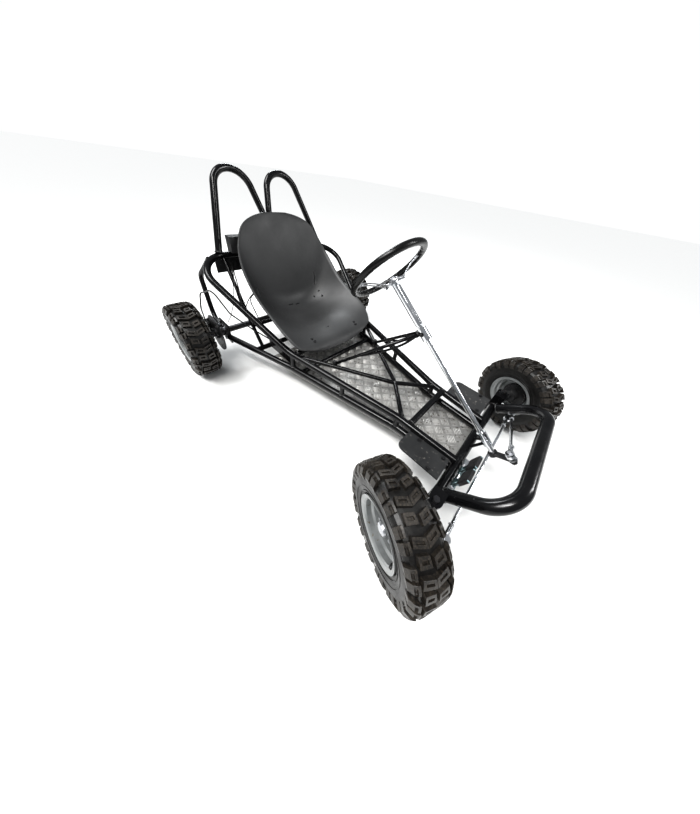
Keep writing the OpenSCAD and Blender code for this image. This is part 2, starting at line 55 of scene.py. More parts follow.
def middle(node):
    lo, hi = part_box(node)
    return (lo + hi) / 2


FRONT_X = middle("kingpins").x
REAR_X = middle("rear_axle").x
HUB_Z = middle("rear_axle").z
JOINT_AXIS = {j["name"]: j["axis"] for j in frame["record"]["behaviour"]["joints"]}
STEER = math.atan2(JOINT_AXIS["front_left_spin"][0], JOINT_AXIS["front_left_spin"][1])
DOWN_COLUMN = -Vector(JOINT_AXIS["steering_turn"]).normalized()


def ahead(x, y, z):
    """A place given in millimetres from the front axle line."""
    return Vector((FRONT_X + x * MM, y * MM, z * MM))


def behind(x, y, z):
    """A place given in millimetres from the rear axle line."""
    return Vector((REAR_X + x * MM, y * MM, z * MM))


# ---------- camera, light and stage ----------

def make_camera():
    right = Vector((0.71543, 0.68761, 0.12391))
    down = Vector((0.52231, -0.40855, -0.74851))
    look = Vector((-0.46406, 0.60023, -0.65144))
    place = ahead(-57.4, -657.1, 839.9)
    data = bpy.data.cameras.new("camera")
    data.sensor_width = 36
    data.lens = 9.911
    data.shift_x = -0.00886
    data.shift_y = -0.0490
    data.clip_start = 0.02
    cam = bpy.data.objects.new("camera", data)
    bpy.context.scene.collection.objects.link(cam)
    turn = Matrix((right, -down, -look)).transposed().to_4x4()
    cam.matrix_world = Matrix.Translation(place) @ turn
    bpy.context.scene.camera = cam


def area_light(name, place, target, size, power, tint=(1, 1, 1)):
    data = bpy.data.lights.new(name, "AREA")
    data.shape = "RECTANGLE"
    data.size, data.size_y = size
    data.energy = power
    data.color = tint
    light = bpy.data.objects.new(name, data)
    bpy.context.scene.collection.objects.link(light)
    light.location = place
    light.rotation_mode = "QUATERNION"
    light.rotation_quaternion = (Vector(target) - Vector(place)).to_track_quat("-Z", "Y")


def make_stage():
    world = bpy.data.worlds.new("studio")
    bpy.context.scene.world = world
    world.use_nodes = True
    nodes, links = world.node_tree.nodes, world.node_tree.links
    sky = nodes["Background"]
    sky.inputs["Color"].default_value = (0.93, 0.96, 1, 1)
    sky.inputs["Strength"].default_value = 0.28
    backdrop = nodes.new("ShaderNodeBackground")
    backdrop.inputs["Color"].default_value = (0.84, 0.84, 0.84, 1)
    rays, choice = nodes.new("ShaderNodeLightPath"), nodes.new("ShaderNodeMixShader")
    links.new(rays.outputs["Is Camera Ray"], choice.inputs[0])
    links.new(sky.outputs[0], choice.inputs[1])
    links.new(backdrop.outputs[0], choice.inputs[2])
    links.new(choice.outputs[0], nodes["World Output"].inputs["Surface"])
    sun = bpy.data.objects.new("sun", bpy.data.lights.new("sun", "SUN"))
    bpy.context.scene.collection.objects.link(sun)
    sun.data.energy = 2.5
    sun.data.angle = math.radians(30)
    sun.rotation_euler = (math.radians(24), math.radians(-14), 0)
    area_light("key", (0.5, -1.4, 3.0), (0.1, 0, 0.2), (1.5, 0.35), 46, (1, 0.99, 0.97))
    area_light("window", (-2.4, 0.9, 2.4), (-0.2, 0, 0.3), (1.2, 0.5), 44, (0.95, 0.98, 1))
    area_light("strip", (2.4, 1.7, 2.2), (0.2, 0, 0.2), (0.4, 1.6), 34)
    bpy.context.scene.view_settings.view_transform = "Standard"
    bpy.context.scene.view_settings.look = "Medium High Contrast"
    bpy.ops.mesh.primitive_plane_add(size=60)
    floor = bpy.context.object
    floor.name = "stage_floor"
    mat, nodes, links, shader = blank_material("stage_floor")
    shader.inputs["Base Color"].default_value = (0.86, 0.86, 0.85, 1)
    shader.inputs["Roughness"].default_value = 0.75
    floor.data.materials.append(mat)


# ---------- materials ----------

def blank_material(name):
    mat = bpy.data.materials.new(name)
    mat.use_nodes = True
    nodes, links = mat.node_tree.nodes, mat.node_tree.links
    return mat, nodes, links, nodes["Principled BSDF"]


def noise(nodes, links, coords, scale, detail=4.0, stretch=None):
    """A noise texture on the object's own coordinates; stretch squeezes it along the axes."""
    source = coords.outputs["Object"]
    if stretch:
        mapping = nodes.new("ShaderNodeMapping")
        mapping.inputs["Scale"].default_value = stretch
        links.new(source, mapping.inputs["Vector"])
        source = mapping.outputs["Vector"]
    tex = nodes.new("ShaderNodeTexNoise")
    tex.inputs["Scale"].default_value = scale
    tex.inputs["Detail"].default_value = detail
    links.new(source, tex.inputs["Vector"])
    return tex.outputs["Fac"]


def ramp(nodes, links, fac, stops):
    """A colour ramp; stops are (place, colour)."""
    node = nodes.new("ShaderNodeValToRGB")
    band = node.color_ramp
    while len(band.elements) < len(stops):
        band.elements.new(0.5)
    for element, (place, colour) in zip(band.elements, stops):
        element.position = place
        element.color = (*colour, 1)
    links.new(fac, node.inputs["Fac"])
    return node.outputs["Color"]


def spread(nodes, links, fac, low, high, start=0.3, stop=0.7):
    node = nodes.new("ShaderNodeMapRange")
    for key, value in (("From Min", start), ("From Max", stop), ("To Min", low), ("To Max", high)):
        node.inputs[key].default_value = value
    links.new(fac, node.inputs["Value"])
    return node.outputs["Result"]


def bump(nodes, links, heights, shader):
    """Chains (height, strength, distance) bumps into the shader's normal."""
    last = None
    for height, strength, distance in heights:
        node = nodes.new("ShaderNodeBump")
        node.inputs["Strength"].default_value = strength
        node.inputs["Distance"].default_value = distance
        links.new(height, node.inputs["Height"])
        if last:
            links.new(last, node.inputs["Normal"])
        last = node.outputs["Normal"]
    links.new(last, shader.inputs["Normal"])


def finish_material(name, colours, rough, metallic=0.0, coat=0.0, grain=(900, 0.15, 0.0002),
                    mottle=14, stretch=None, scuff=None, spec=0.5):
    """Colour mottling, uneven roughness, fine grain and a few scuffs, all from noise.

    colours: (dark, light). rough: (low, high). grain: (scale, strength, distance).
    scuff: (colour, place on the noise where it starts)."""
    mat, nodes, links, shader = blank_material(name)
    coords = nodes.new("ShaderNodeTexCoord")
    broad = noise(nodes, links, coords, mottle, 5)
    fine = noise(nodes, links, coords, grain[0], 3, stretch)
    colour = ramp(nodes, links, broad, [(0.3, colours[0]), (0.7, colours[1])])
    if scuff:
        marks = noise(nodes, links, coords, mottle * 7, 9, (1, 1, 2.5))
        mask = spread(nodes, links, marks, 0, 1, scuff[1], scuff[1] + 0.05)
        mix = nodes.new("ShaderNodeMix")
        mix.data_type = "RGBA"
        links.new(mask, mix.inputs["Factor"])
        links.new(colour, mix.inputs["A"])
        mix.inputs["B"].default_value = (*scuff[0], 1)
        colour = mix.outputs["Result"]
    links.new(colour, shader.inputs["Base Color"])
    smudge = noise(nodes, links, coords, mottle * 2.3, 6)
    links.new(spread(nodes, links, smudge, rough[0], rough[1]), shader.inputs["Roughness"])
    shader.inputs["Metallic"].default_value = metallic
    shader.inputs["Specular IOR Level"].default_value = spec
    shader.inputs["Coat Weight"].default_value = coat
    shader.inputs["Coat Roughness"].default_value = 0.06
    bump(nodes, links, [(fine, grain[1], grain[2]), (broad, 0.08, 0.0006)], shader)
    return mat


def tyre_material(name, light, dusty):
    """Rubber with road dust in patches, from noise. It is made twice, each with its own base tone: a lighter
    copy for the lugs paints light on their tops, and a darker one for the carcass paints shade in the
    grooves and on the sidewalls.
    """
    mat, nodes, links, shader = blank_material(name)
    coords = nodes.new("ShaderNodeTexCoord")
    broad = noise(nodes, links, coords, 22, 8)
    speck = noise(nodes, links, coords, 260, 6)
    base = ramp(nodes, links, broad, [(0.32, (0.005, 0.0047, 0.0045)), (0.68, light)])
    mask = spread(nodes, links, speck, 0, dusty, 0.46, 0.72)
    mix = nodes.new("ShaderNodeMix")
    mix.data_type = "RGBA"
    links.new(mask, mix.inputs["Factor"])
    links.new(base, mix.inputs["A"])
    mix.inputs["B"].default_value = (0.085, 0.07, 0.054, 1)
    links.new(mix.outputs["Result"], shader.inputs["Base Color"])
    links.new(spread(nodes, links, broad, 0.3, 0.5), shader.inputs["Roughness"])
    grit = noise(nodes, links, coords, 1400, 3)
    bump(nodes, links, [(grit, 0.35, 0.0003), (speck, 0.25, 0.0005)], shader)
    return mat


def make_materials():
    black, soft_black = (0.003, 0.003, 0.0035), (0.007, 0.007, 0.0075)
    steel, pale_steel = (0.42, 0.43, 0.45), (0.66, 0.67, 0.69)
    return {
        "gloss_black": finish_material("gloss_black", (black, soft_black), (0.14, 0.26), coat=0.12,
            grain=(420, 0.04, 0.0003), scuff=((0.03, 0.028, 0.026), 0.69), spec=0.24),
        "bumper_black": finish_material("bumper_black", (black, soft_black), (0.18, 0.28), coat=0.2,
            grain=(260, 0.05, 0.0004), scuff=((0.04, 0.04, 0.04), 0.69), spec=0.28),
        "satin_black": finish_material("satin_black", (soft_black, (0.016, 0.016, 0.017)),
            (0.35, 0.55), grain=(700, 0.2, 0.0003), scuff=((0.1, 0.1, 0.1), 0.68), spec=0.35),
        "dark_steel": finish_material("dark_steel", ((0.03, 0.03, 0.032), (0.075, 0.075, 0.08)),
            (0.3, 0.5), metallic=0.8, grain=(500, 0.3, 0.0003), scuff=((0.16, 0.12, 0.08), 0.64)),
        "bolt_black": finish_material("bolt_black", (black, soft_black), (0.5, 0.7), spec=0.2),
        "chrome": finish_material("chrome", ((0.62, 0.64, 0.66), (0.86, 0.87, 0.89)), (0.1, 0.24),
            metallic=1.0, grain=(500, 0.04, 0.0002), scuff=((0.3, 0.29, 0.28), 0.7)),
        "zinc": finish_material("zinc", (steel, pale_steel), (0.25, 0.45), metallic=1.0,
            grain=(800, 0.12, 0.0002), scuff=((0.2, 0.17, 0.12), 0.68)),
        # the plate's aluminium is kept darker than its own raised bars: painted shade between the bars; its
        # scuffs are dirt
        "checker": finish_material("checker", ((0.26, 0.255, 0.245), (0.42, 0.415, 0.4)), (0.38, 0.6),
            metallic=0.6, grain=(650, 0.2, 0.0003), stretch=(1, 5, 1),
            scuff=((0.1, 0.09, 0.08), 0.6)),
        # the bars are a lighter copy of the plate's aluminium: painted light on the raised bars
        "tread_bar": finish_material("tread_bar", ((0.5, 0.49, 0.47), (0.72, 0.71, 0.69)),
            (0.3, 0.48), metallic=0.7, grain=(800, 0.15, 0.0002), scuff=((0.28, 0.26, 0.23), 0.6)),
        "seat": finish_material("seat", ((0.028, 0.0285, 0.029), (0.042, 0.0425, 0.043)), (0.42, 0.52),
            grain=(1700, 0.3, 0.0002), mottle=6, scuff=((0.1, 0.1, 0.1), 0.72)),
        "guard": finish_material("guard", ((0.012, 0.0125, 0.013), (0.026, 0.0265, 0.027)), (0.45, 0.65),
            grain=(1200, 0.4, 0.0003), mottle=12, scuff=((0.14, 0.13, 0.12), 0.64)),
        "grip": finish_material("grip", ((0.003, 0.003, 0.003), (0.007, 0.007, 0.007)), (0.2, 0.32),
            grain=(900, 0.15, 0.0003), spec=0.32),
        "wheel_metal": finish_material("wheel_metal", ((0.5, 0.51, 0.53), (0.72, 0.73, 0.75)),
            (0.22, 0.4), metallic=1.0, grain=(900, 0.12, 0.0002), stretch=(1, 6, 1)),
        "rim": finish_material("rim", ((0.22, 0.23, 0.23), (0.35, 0.36, 0.36)), (0.3, 0.44),
            metallic=0.6, coat=0.2, grain=(1100, 0.15, 0.0002), scuff=((0.18, 0.15, 0.12), 0.66)),
        "hub": finish_material("hub", ((0.02, 0.02, 0.021), (0.06, 0.06, 0.06)), (0.4, 0.6),
            metallic=0.4, grain=(400, 0.4, 0.0004), scuff=((0.2, 0.19, 0.18), 0.64)),
        # disc darker than bare steel: painted shade of the dark space between wheel and frame, over its own
        # steel; the brown scuffs are wear
        "disc": finish_material("disc", ((0.05, 0.05, 0.052), (0.11, 0.11, 0.115)), (0.34, 0.5),
            metallic=0.9, grain=(300, 0.3, 0.0002), scuff=((0.22, 0.16, 0.1), 0.66)),
        "brass": finish_material("brass", ((0.45, 0.28, 0.1), (0.7, 0.5, 0.22)), (0.25, 0.42),
            metallic=1.0),
        "sheath": finish_material("sheath", ((0.006, 0.006, 0.006), (0.012, 0.012, 0.012)),
            (0.35, 0.5)),
        "battery": finish_material("battery", ((0.012, 0.012, 0.013), (0.024, 0.024, 0.025)),
            (0.5, 0.65), grain=(1300, 0.4, 0.0003)),
        # teal tint in the steel colour: painted reflection of the sky on the pedal arms
        "pedal_steel": finish_material("pedal_steel", ((0.12, 0.18, 0.19), (0.26, 0.33, 0.34)),
            (0.25, 0.4), metallic=0.9),
        "pad": finish_material("pad", ((0.008, 0.008, 0.009), (0.02, 0.02, 0.02)), (0.5, 0.7),
            grain=(900, 0.5, 0.0004)),
        "weld": finish_material("weld", (soft_black, (0.035, 0.034, 0.033)), (0.28, 0.5), coat=0.3,
            grain=(260, 0.5, 0.0006)),
        # lugs and carcass are lit and shaded copies of one rubber: painted light on the lug tops, painted
        # shade in the grooves and on the sidewalls
        "lugs": tyre_material("lugs", (0.026, 0.022, 0.018), 0.5),
        "carcass": tyre_material("carcass", (0.006, 0.0056, 0.0052), 0.08),
    }


NODE_LOOKS = {
    "gloss_black": ["main_frame", "lower_rails", "frame_uprights", "frame_crossbars", "x_brace",
                    "column_support", "rear_hoops", "rear_drop_tubes", "front_axle_beam",
                    "seat_struts"],
    "bumper_black": ["front_bumper"],
    "satin_black": ["rear_panel", "motor", "motor_bracket", "pitman_arm", "left_knuckle",
                    "right_knuckle", "brake_caliper"],
    "guard": ["foot_guards"],
    "chrome": ["steering_column", "tie_rod", "drag_link", "pedal_pivot", "column_bushes"],
    "zinc": ["spoke_screws", "pedal_bracket", "pedal_springs",
             "axle_sprocket", "motor_sprocket", "drive_chain"],
    "dark_steel": ["kingpins", "rear_axle", "axle_bearings"],
    "bolt_black": ["seat_screws"],
    "grip": ["steering_wheel_ring"],
    "wheel_metal": ["steering_wheel_spokes"],
    "rim": ["front_left_rim", "front_right_rim", "rear_left_rim", "rear_right_rim"],
    "hub": ["front_left_hub", "front_right_hub", "rear_hubs", "rear_wheel_nuts",
            "front_left_nuts", "front_right_nuts"],
    "disc": ["brake_disc"],
    "sheath": ["brake_cable", "throttle_cable"],
    "battery": ["battery_box", "battery_lid", "power_switch_box"],
    "pedal_steel": ["brake_pedal", "throttle_pedal"],
    "checker": ["floor_plate"],
}


def dress_cad_nodes():
    for look, names in NODE_LOOKS.items():
        for name in names:
            obj = frame["nodes"][name]
            if not obj.material_slots:
                obj.data.materials.append(MATS[look])
            for slot in obj.material_slots:
                slot.material = MATS[look]


# ---------- mesh helpers ----------

def add_mesh(name, verts, faces, mats, face_mats=None, smooth=True):
    mesh = bpy.data.meshes.new(name)
    mesh.from_pydata([tuple(v) for v in verts], [], faces)
    for m in mats:
        mesh.materials.append(MATS[m])
    if face_mats:
        mesh.polygons.foreach_set("material_index", face_mats)
    if smooth:
        mesh.polygons.foreach_set("use_smooth", [True] * len(mesh.polygons))
    mesh.update()
    obj = bpy.data.objects.new(name, mesh)
    bpy.context.scene.collection.objects.link(obj)
    return obj


def fix_normals(obj):
    bm = bmesh.new()
    bm.from_mesh(obj.data)
    bmesh.ops.recalc_face_normals(bm, faces=bm.faces)
    bm.to_mesh(obj.data)
    bm.free()


def apply_modifiers(obj):
    graph = bpy.context.evaluated_depsgraph_get()
    mesh = bpy.data.meshes.new_from_object(obj.evaluated_get(graph))
    obj.modifiers.clear()
    obj.data = mesh


def bevel(obj, width, segments=2, angle=35):
    mod = obj.modifiers.new("bevel", "BEVEL")
    mod.width = width
    mod.segments = segments
    mod.limit_method = "ANGLE"
    mod.angle_limit = math.radians(angle)
    apply_modifiers(obj)


def place(obj, body, slot, replaced=()):
    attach(obj, body)
    if replaced:
        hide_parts(*replaced)
    return obj


def side_frame(direction):
    """Two unit vectors square to a direction."""
    direction = direction.normalized()
    helper = Vector((0, 0, 1)) if abs(direction.z) < 0.9 else Vector((1, 0, 0))
    a = direction.cross(helper).normalized()
    return a, direction.cross(a)


class Parts:
    """Collects simple turned and extruded forms into one mesh."""

    def __init__(self):
        self.verts, self.faces = [], []

    def turn(self, base, axis, profile, sides=20):
        """profile is a list of (along, radius) in metres; both ends are closed."""
        axis = axis.normalized()
        a, b = side_frame(axis)
        first = len(self.verts)
        for along, radius in profile:
            for i in range(sides):
                t = TAU * i / sides
                self.verts.append(base + axis * along + (a * math.cos(t) + b * math.sin(t)) * radius)
        rings = len(profile)
        for r in range(rings - 1):
            for i in range(sides):
                j = (i + 1) % sides
                self.faces.append((first + r * sides + i, first + r * sides + j,
                                   first + (r + 1) * sides + j, first + (r + 1) * sides + i))
        self.faces.append(tuple(first + i for i in reversed(range(sides))))
        self.faces.append(tuple(first + (rings - 1) * sides + i for i in range(sides)))

    def tube(self, points, radius, sides=10, wobble=0.0):
        """A closed-ended tube through the points."""
        first = len(self.verts)
        for k, p in enumerate(points):
            ahead_p = points[min(k + 1, len(points) - 1)]
            back_p = points[max(k - 1, 0)]
            a, b = side_frame(ahead_p - back_p)
            r = radius * (1 + wobble * math.sin(k * 2.1))
            for i in range(sides):
                t = TAU * i / sides
                self.verts.append(p + (a * math.cos(t) + b * math.sin(t)) * r)
        for k in range(len(points) - 1):
            for i in range(sides):
                j = (i + 1) % sides
                self.faces.append((first + k * sides + i, first + k * sides + j,
                                   first + (k + 1) * sides + j, first + (k + 1) * sides + i))
        self.faces.append(tuple(first + i for i in reversed(range(sides))))
        last = first + (len(points) - 1) * sides
        self.faces.append(tuple(last + i for i in range(sides)))

    def ring(self, centre, axis, radius, thick, steps=40, sides=8, ripple=0.0, ripples=14):
        """A closed ring round an axis; ripple makes the overlapping scales of a weld bead."""
        axis = axis.normalized()
        a, b = side_frame(axis)
        first = len(self.verts)
        for k in range(steps):
            t = TAU * k / steps
            out = a * math.cos(t) + b * math.sin(t)
            r = thick * (1 + ripple * abs(math.sin(t * ripples / 2)))
            for i in range(sides):
                s = TAU * i / sides
                self.verts.append(centre + out * (radius + r * math.cos(s)) + axis * (r * math.sin(s)))
        for k in range(steps):
            n = (k + 1) % steps
            for i in range(sides):
                j = (i + 1) % sides
                self.faces.append((first + k * sides + i, first + k * sides + j,
                                   first + n * sides + j, first + n * sides + i))

    def make(self, name, mat, body, slot, smooth=True):
        obj = add_mesh(name, self.verts, self.faces, [mat], smooth=smooth)
        fix_normals(obj)
        return place(obj, body, slot)


def catmull(points, steps):
    """A smooth path through the points."""
    out = []
    for i in range(len(points) - 1):
        p0 = points[max(i - 1, 0)]
        p1, p2 = points[i], points[i + 1]
        p3 = points[min(i + 2, len(points) - 1)]
        for k in range(steps):
            t = k / steps
            out.append(0.5 * ((2 * p1) + (p2 - p0) * t + (2 * p0 - 5 * p1 + 4 * p2 - p3) * t * t
                              + (3 * p1 - p0 - 3 * p2 + p3) * t ** 3))
    out.append(points[-1])
    return out


# ---------- tyres ----------

TYRE_R = HUB_Z
LUG_DEPTH = 11 * MM
ROWS = 28
# Outer surface over the lugs: (y, radius below the largest), both in millimetres
CROWN = [(0, 0), (28, 0.2), (41, 2.2), (51, 10.5), (55.3, 22.5), (55.3, 45)]
# Closed outline of one half of the carcass: (y, radius below the largest)
CARCASS = [(0, 11.5), (20, 11.7), (33, 13.2), (42, 17), (47.5, 24), (51, 38), (51.5, 50), (50, 62),
           (46.5, 73), (45.5, 77), (43.5, 80), (42, 88), (37, 90.6), (34, 88), (38, 76), (44, 60),
           (44, 44), (40, 30), (28, 21), (0, 19)]


def crown_drop(y):
    y = abs(y)
    for (y0, d0), (y1, d1) in zip(CROWN, CROWN[1:]):
        if y <= y1 and y1 > y0:
            return d0 + (d1 - d0) * (y - y0) / (y1 - y0)
    return CROWN[-1][1]


def tread_point(s, y, height):
    """s runs round the tyre and y across it, in millimetres; height 1 is a lug's top, 0 its foot."""
    shoulder = max(0.0, (abs(y) - 40) / 16)
    inward = (1 - height) * LUG_DEPTH / MM
    radius = TYRE_R / MM - crown_drop(y) - inward * (1 - 0.55 * min(shoulder, 1))
    across = y - math.copysign(inward * 0.6 * min(shoulder, 1), y)
    angle = s / (TYRE_R / MM)
    return Vector((radius * math.sin(angle), across, radius * math.cos(angle))) * MM


def add_lug(verts, faces, corners, cols, rows, slot):
    """A tread block over four corners (s, y), with a slot sunk into its top."""
    def bilinear(u, v):
        (a, b, c, d) = [Vector(p) for p in corners]
        return a * (1 - u) * (1 - v) + b * u * (1 - v) + c * u * v + d * (1 - u) * v

    top, first = {}, len(verts)
    centre = bilinear(0.5, 0.5)
    for i, u in enumerate(cols):
        for j, v in enumerate(rows):
            p = bilinear(u, v)
            top[i, j] = len(verts)
            verts.append(tread_point(p.x, p.y, 1.0))
    (u0, u1), (v0, v1) = slot
    low = {}

    def lowered(i, j):
        if (i, j) not in low:
            p = bilinear(cols[i], rows[j])
            low[i, j] = len(verts)
            verts.append(tread_point(p.x, p.y, 0.45))
        return low[i, j]

    def in_slot(i, j):
        return u0 <= i < u1 and v0 <= j < v1

    n, m = len(cols) - 1, len(rows) - 1
    for i in range(n):
        for j in range(m):
            quad = [(i, j), (i + 1, j), (i + 1, j + 1), (i, j + 1)]
            if not in_slot(i, j):
                faces.append(tuple(top[q] for q in quad))
                continue
            faces.append(tuple(lowered(*q) for q in quad))
            for k, (di, dj) in enumerate([(0, -1), (1, 0), (0, 1), (-1, 0)]):
                if not in_slot(i + di, j + dj):
                    a, b = quad[k], quad[(k + 1) % 4]
                    faces.append((top[a], top[b], lowered(*b), lowered(*a)))
    edge = ([(i, 0) for i in range(n)] + [(n, j) for j in range(m)]
            + [(i, m) for i in range(n, 0, -1)] + [(0, j) for j in range(m, 0, -1)])
    foot = []
    for i, j in edge:
        p = bilinear(cols[i], rows[j])
        out = (p - centre) * 0.07
        foot.append(len(verts))
        verts.append(tread_point(p.x + out.x, p.y + out.y, -0.25))
    count = len(edge)
    for k in range(count):
        a, b = edge[k], edge[(k + 1) % count]
        faces.append((top[b], top[a], foot[k], foot[(k + 1) % count]))
    faces.append(tuple(reversed(foot)))


def tyre_mesh(name):
    verts, faces, mats = [], [], []
    around = 120
    ring = [(y, TYRE_R / MM - d) for y, d in CARCASS]
    ring += [(-y, r) for y, r in reversed(ring) if y != 0]
    for k in range(around):
        t = TAU * k / around
        for y, r in ring:
            verts.append(Vector((r * math.sin(t), y, r * math.cos(t))) * MM)
    n = len(ring)
    for k in range(around):
        nxt = (k + 1) % around
        for i in range(n):
            j = (i + 1) % n
            faces.append((k * n + i, k * n + j, nxt * n + j, nxt * n + i))
    mats += [1] * len(faces)
    for side in (1, -1):
        for drop, y, size in ((30, 51.6, 1.1), (70, 48.6, 1.0), (56, 51.3, 0.7)):
            first = len(verts)
            for k in range(around):
                t = TAU * k / around
                for i in range(6):
                    s = TAU * i / 6
                    r = TYRE_R / MM - drop + size * math.cos(s)
                    verts.append(Vector((r * math.sin(t), side * (y + size * math.sin(s)),
                                         r * math.cos(t))) * MM)
            for k in range(around):
                nxt = (k + 1) % around
                for i in range(6):
                    j = (i + 1) % 6
                    faces.append((first + k * 6 + i, first + k * 6 + j,
                                  first + nxt * 6 + j, first + nxt * 6 + i))
                    mats.append(1)
    pitch = TAU * TYRE_R / MM / ROWS
    quarters = (0, 0.2, 0.5, 0.8, 1)
    thirds = (0, 0.34, 0.66, 1)
    knob_cuts = (0, 0.3, 0.62, 1)
    for row in range(ROWS):
        s = row * pitch
        for side in (1, -1):
            if row % 2 == 0:
                arm = [(s - 9, side * 0.5), (s - 20, side * 29), (s - 1, side * 33),
                       (s + 11, side * 0.5)]
                add_lug(verts, faces, arm, quarters, thirds, ((1, 3), (1, 2)))
            else:
                shift = -4 if side > 0 else 3
                block = [(s - 13 + shift, side * 4), (s - 20 + shift, side * 28),
                         (s + 3 + shift, side * 31), (s + 9 + shift, side * 4)]
                add_lug(verts, faces, block, quarters, thirds, ((1, 3), (1, 2)))
            lead = s + (6 if row % 2 else -2)
            knob = [(lead - 12, side * 37.5), (lead - 14, side * 55.3), (lead + 9, side * 55.3),
                    (lead + 10, side * 39)]
            if row % 2 == 0:
                knob[0], knob[3] = (lead - 12, side * 36), (lead + 10, side * 36.5)
            add_lug(verts, faces, knob, knob_cuts, knob_cuts, ((1, 2), (1, 3)))
    mats += [0] * (len(faces) - len(mats))
    # the lugs take the lighter copy (painted light) and the carcass the darker one (painted shade)
    obj = add_mesh(name, verts, faces, ["lugs", "carcass"], mats, smooth=False)
    fix_normals(obj)
    bevel(obj, 0.7 * MM, 1, 38)
    return obj


def wheel_matrix(node, turned):
    centre = middle(node)
    side = 1 if centre.y > 0 else -1
    flip = Matrix.Diagonal((1, side, 1, 1))
    turn = Matrix.Rotation(-STEER if turned else 0.0, 4, "Z")
    return Matrix.Translation(centre) @ turn @ flip


def make_wheels():
    master = tyre_mesh("front_left_tread")
    wheels = [("front_left", "front_left_wheel", True), ("front_right", "front_right_wheel", True),
              ("rear_left", "rear_axle_set", False), ("rear_right", "rear_axle_set", False)]
    master_mesh = master.data
    for name, body, turned in wheels:
        matrix = wheel_matrix(name + "_rim", turned)
        if name == "front_left":
            obj = master
            obj.data = master_mesh.copy()
        else:
            obj = bpy.data.objects.new(name + "_tread", master_mesh.copy())
            bpy.context.scene.collection.objects.link(obj)
        obj.data.transform(matrix)
        if matrix.determinant() < 0:
            obj.data.flip_normals()
        place(obj, body, "tyre_rubber", [name + "_tyre"])
        wheel_trim(name, body, matrix)


def wheel_trim(name, body, matrix):
    """Valve stem, hub cap and stud ends on the outboard side."""
    def at(x, y, z):
        return matrix @ (Vector((x, y, z)) * MM)
    out = (matrix.to_3x3() @ Vector((0, 1, 0))).normalized()
    trim = Parts()
    if name.startswith("front"):
        trim.turn(at(0, 25, 0), out, [(0, 0.019), (0.006, 0.0185), (0.011, 0.016), (0.013, 0.010)], 28)
    else:
        trim.turn(at(0, 16, 0), out, [(0, 0.021), (0.009, 0.021), (0.010, 0.014), (0.013, 0.013)], 6)
        trim.turn(at(0, 18, 0), out, [(0, 0.0125), (0.016, 0.0125), (0.018, 0.011)], 24)
    for k in range(4):
        t = math.radians(45 + 90 * k)
        trim.turn(at(38 * math.cos(t), 13, -38 * math.sin(t)), out,
                  [(0, 0.0042), (0.007, 0.0042), (0.008, 0.0034)], 14)
    trim.make(name + "_hub_cap", "zinc", body, "zinc_steel", smooth=False)
    valve = Parts()
    foot = at(63, 18, 0)
    lean = (matrix.to_3x3() @ Vector((0.35, 0.94, 0))).normalized()
    valve.turn(foot, lean, [(-0.004, 0.0062), (0.004, 0.0058), (0.006, 0.004), (0.022, 0.0036),
                            (0.023, 0.0045), (0.032, 0.0043), (0.034, 0.003)], 16)
    valve.make(name + "_valve", "sheath", body, "cable_sheath")


# ---------- seat ----------

# From the front lip to the top, millimetres from the rear axle:
# (middle x, middle z, edge x, edge half-width, edge z)
SEAT_STATIONS = [
    (458, 203, 454, 112, 208), (444, 221, 444, 188, 232), (418, 234, 422, 226, 250),
    (354, 238, 354, 248, 296), (264, 235, 260, 249, 331), (174, 232, 180, 249, 365),
    (96, 240, 124, 248, 402), (54, 276, 78, 245, 445), (33, 340, 46, 239, 478),
    (12, 430, 19, 229, 512), (-11, 520, -4, 212, 552), (-34, 595, -28, 178, 604),
    (-50, 636, -50, 125, 632), (-57, 650, -58, 62, 645)]
SEAT_CURL = 2.6
SEAT_THICK = 4.2 * MM
# Holes as (row, share of the half-width), slits as (first row, last row, first share, last share)
# and short slits across as (row, first share, last share)
SEAT_HOLES = [(6.15, 0.48), (6.25, 0.62), (5.65, 0.61), (5.65, -0.68), (3.0, 0.0)]
SEAT_SLITS = [(7.0, 8.05, 0.6, 0.66), (5.8, 7.0, -0.875, -0.845)]
SEAT_DASHES = [(6.35, -0.18, -0.07), (6.25, -0.01, 0.08)]


def seat_station(row):
    """Stations blended smoothly; row may be a fraction."""
    i = min(int(row), len(SEAT_STATIONS) - 2)
    t = row - i
    s = SEAT_STATIONS
    quad = [s[max(i - 1, 0)], s[i], s[i + 1], s[min(i + 2, len(s) - 1)]]
    out = []
    for p0, p1, p2, p3 in zip(*quad):
        out.append(0.5 * (2 * p1 + (p2 - p0) * t + (2 * p0 - 5 * p1 + 4 * p2 - p3) * t * t
                          + (3 * p1 - p0 - 3 * p2 + p3) * t ** 3))
    return out


def seat_point(row, t):
    """t runs from -1 at the driver's right edge to 1 at the left."""
    cx, cz, ex, half, ez = seat_station(row)
    k = abs(t) ** SEAT_CURL
    return behind(cx + (ex - cx) * k, half * t, cz + (ez - cz) * k)


def seat_mesh():
    rows, cols = 78, 56
    last = len(SEAT_STATIONS) - 1
    verts = [seat_point(last * r / rows, 2 * c / cols - 1)
             for r in range(rows + 1) for c in range(cols + 1)]
    w = cols + 1
    faces = [(r * w + c, r * w + c + 1, (r + 1) * w + c + 1, (r + 1) * w + c)
             for r in range(rows) for c in range(cols)]
    obj = add_mesh("seat_skin", verts, faces, ["seat"])
    solid = obj.modifiers.new("shell", "SOLIDIFY")
    solid.thickness = SEAT_THICK
    solid.offset = 1
    solid.use_even_offset = True
    apply_modifiers(obj)
    return obj


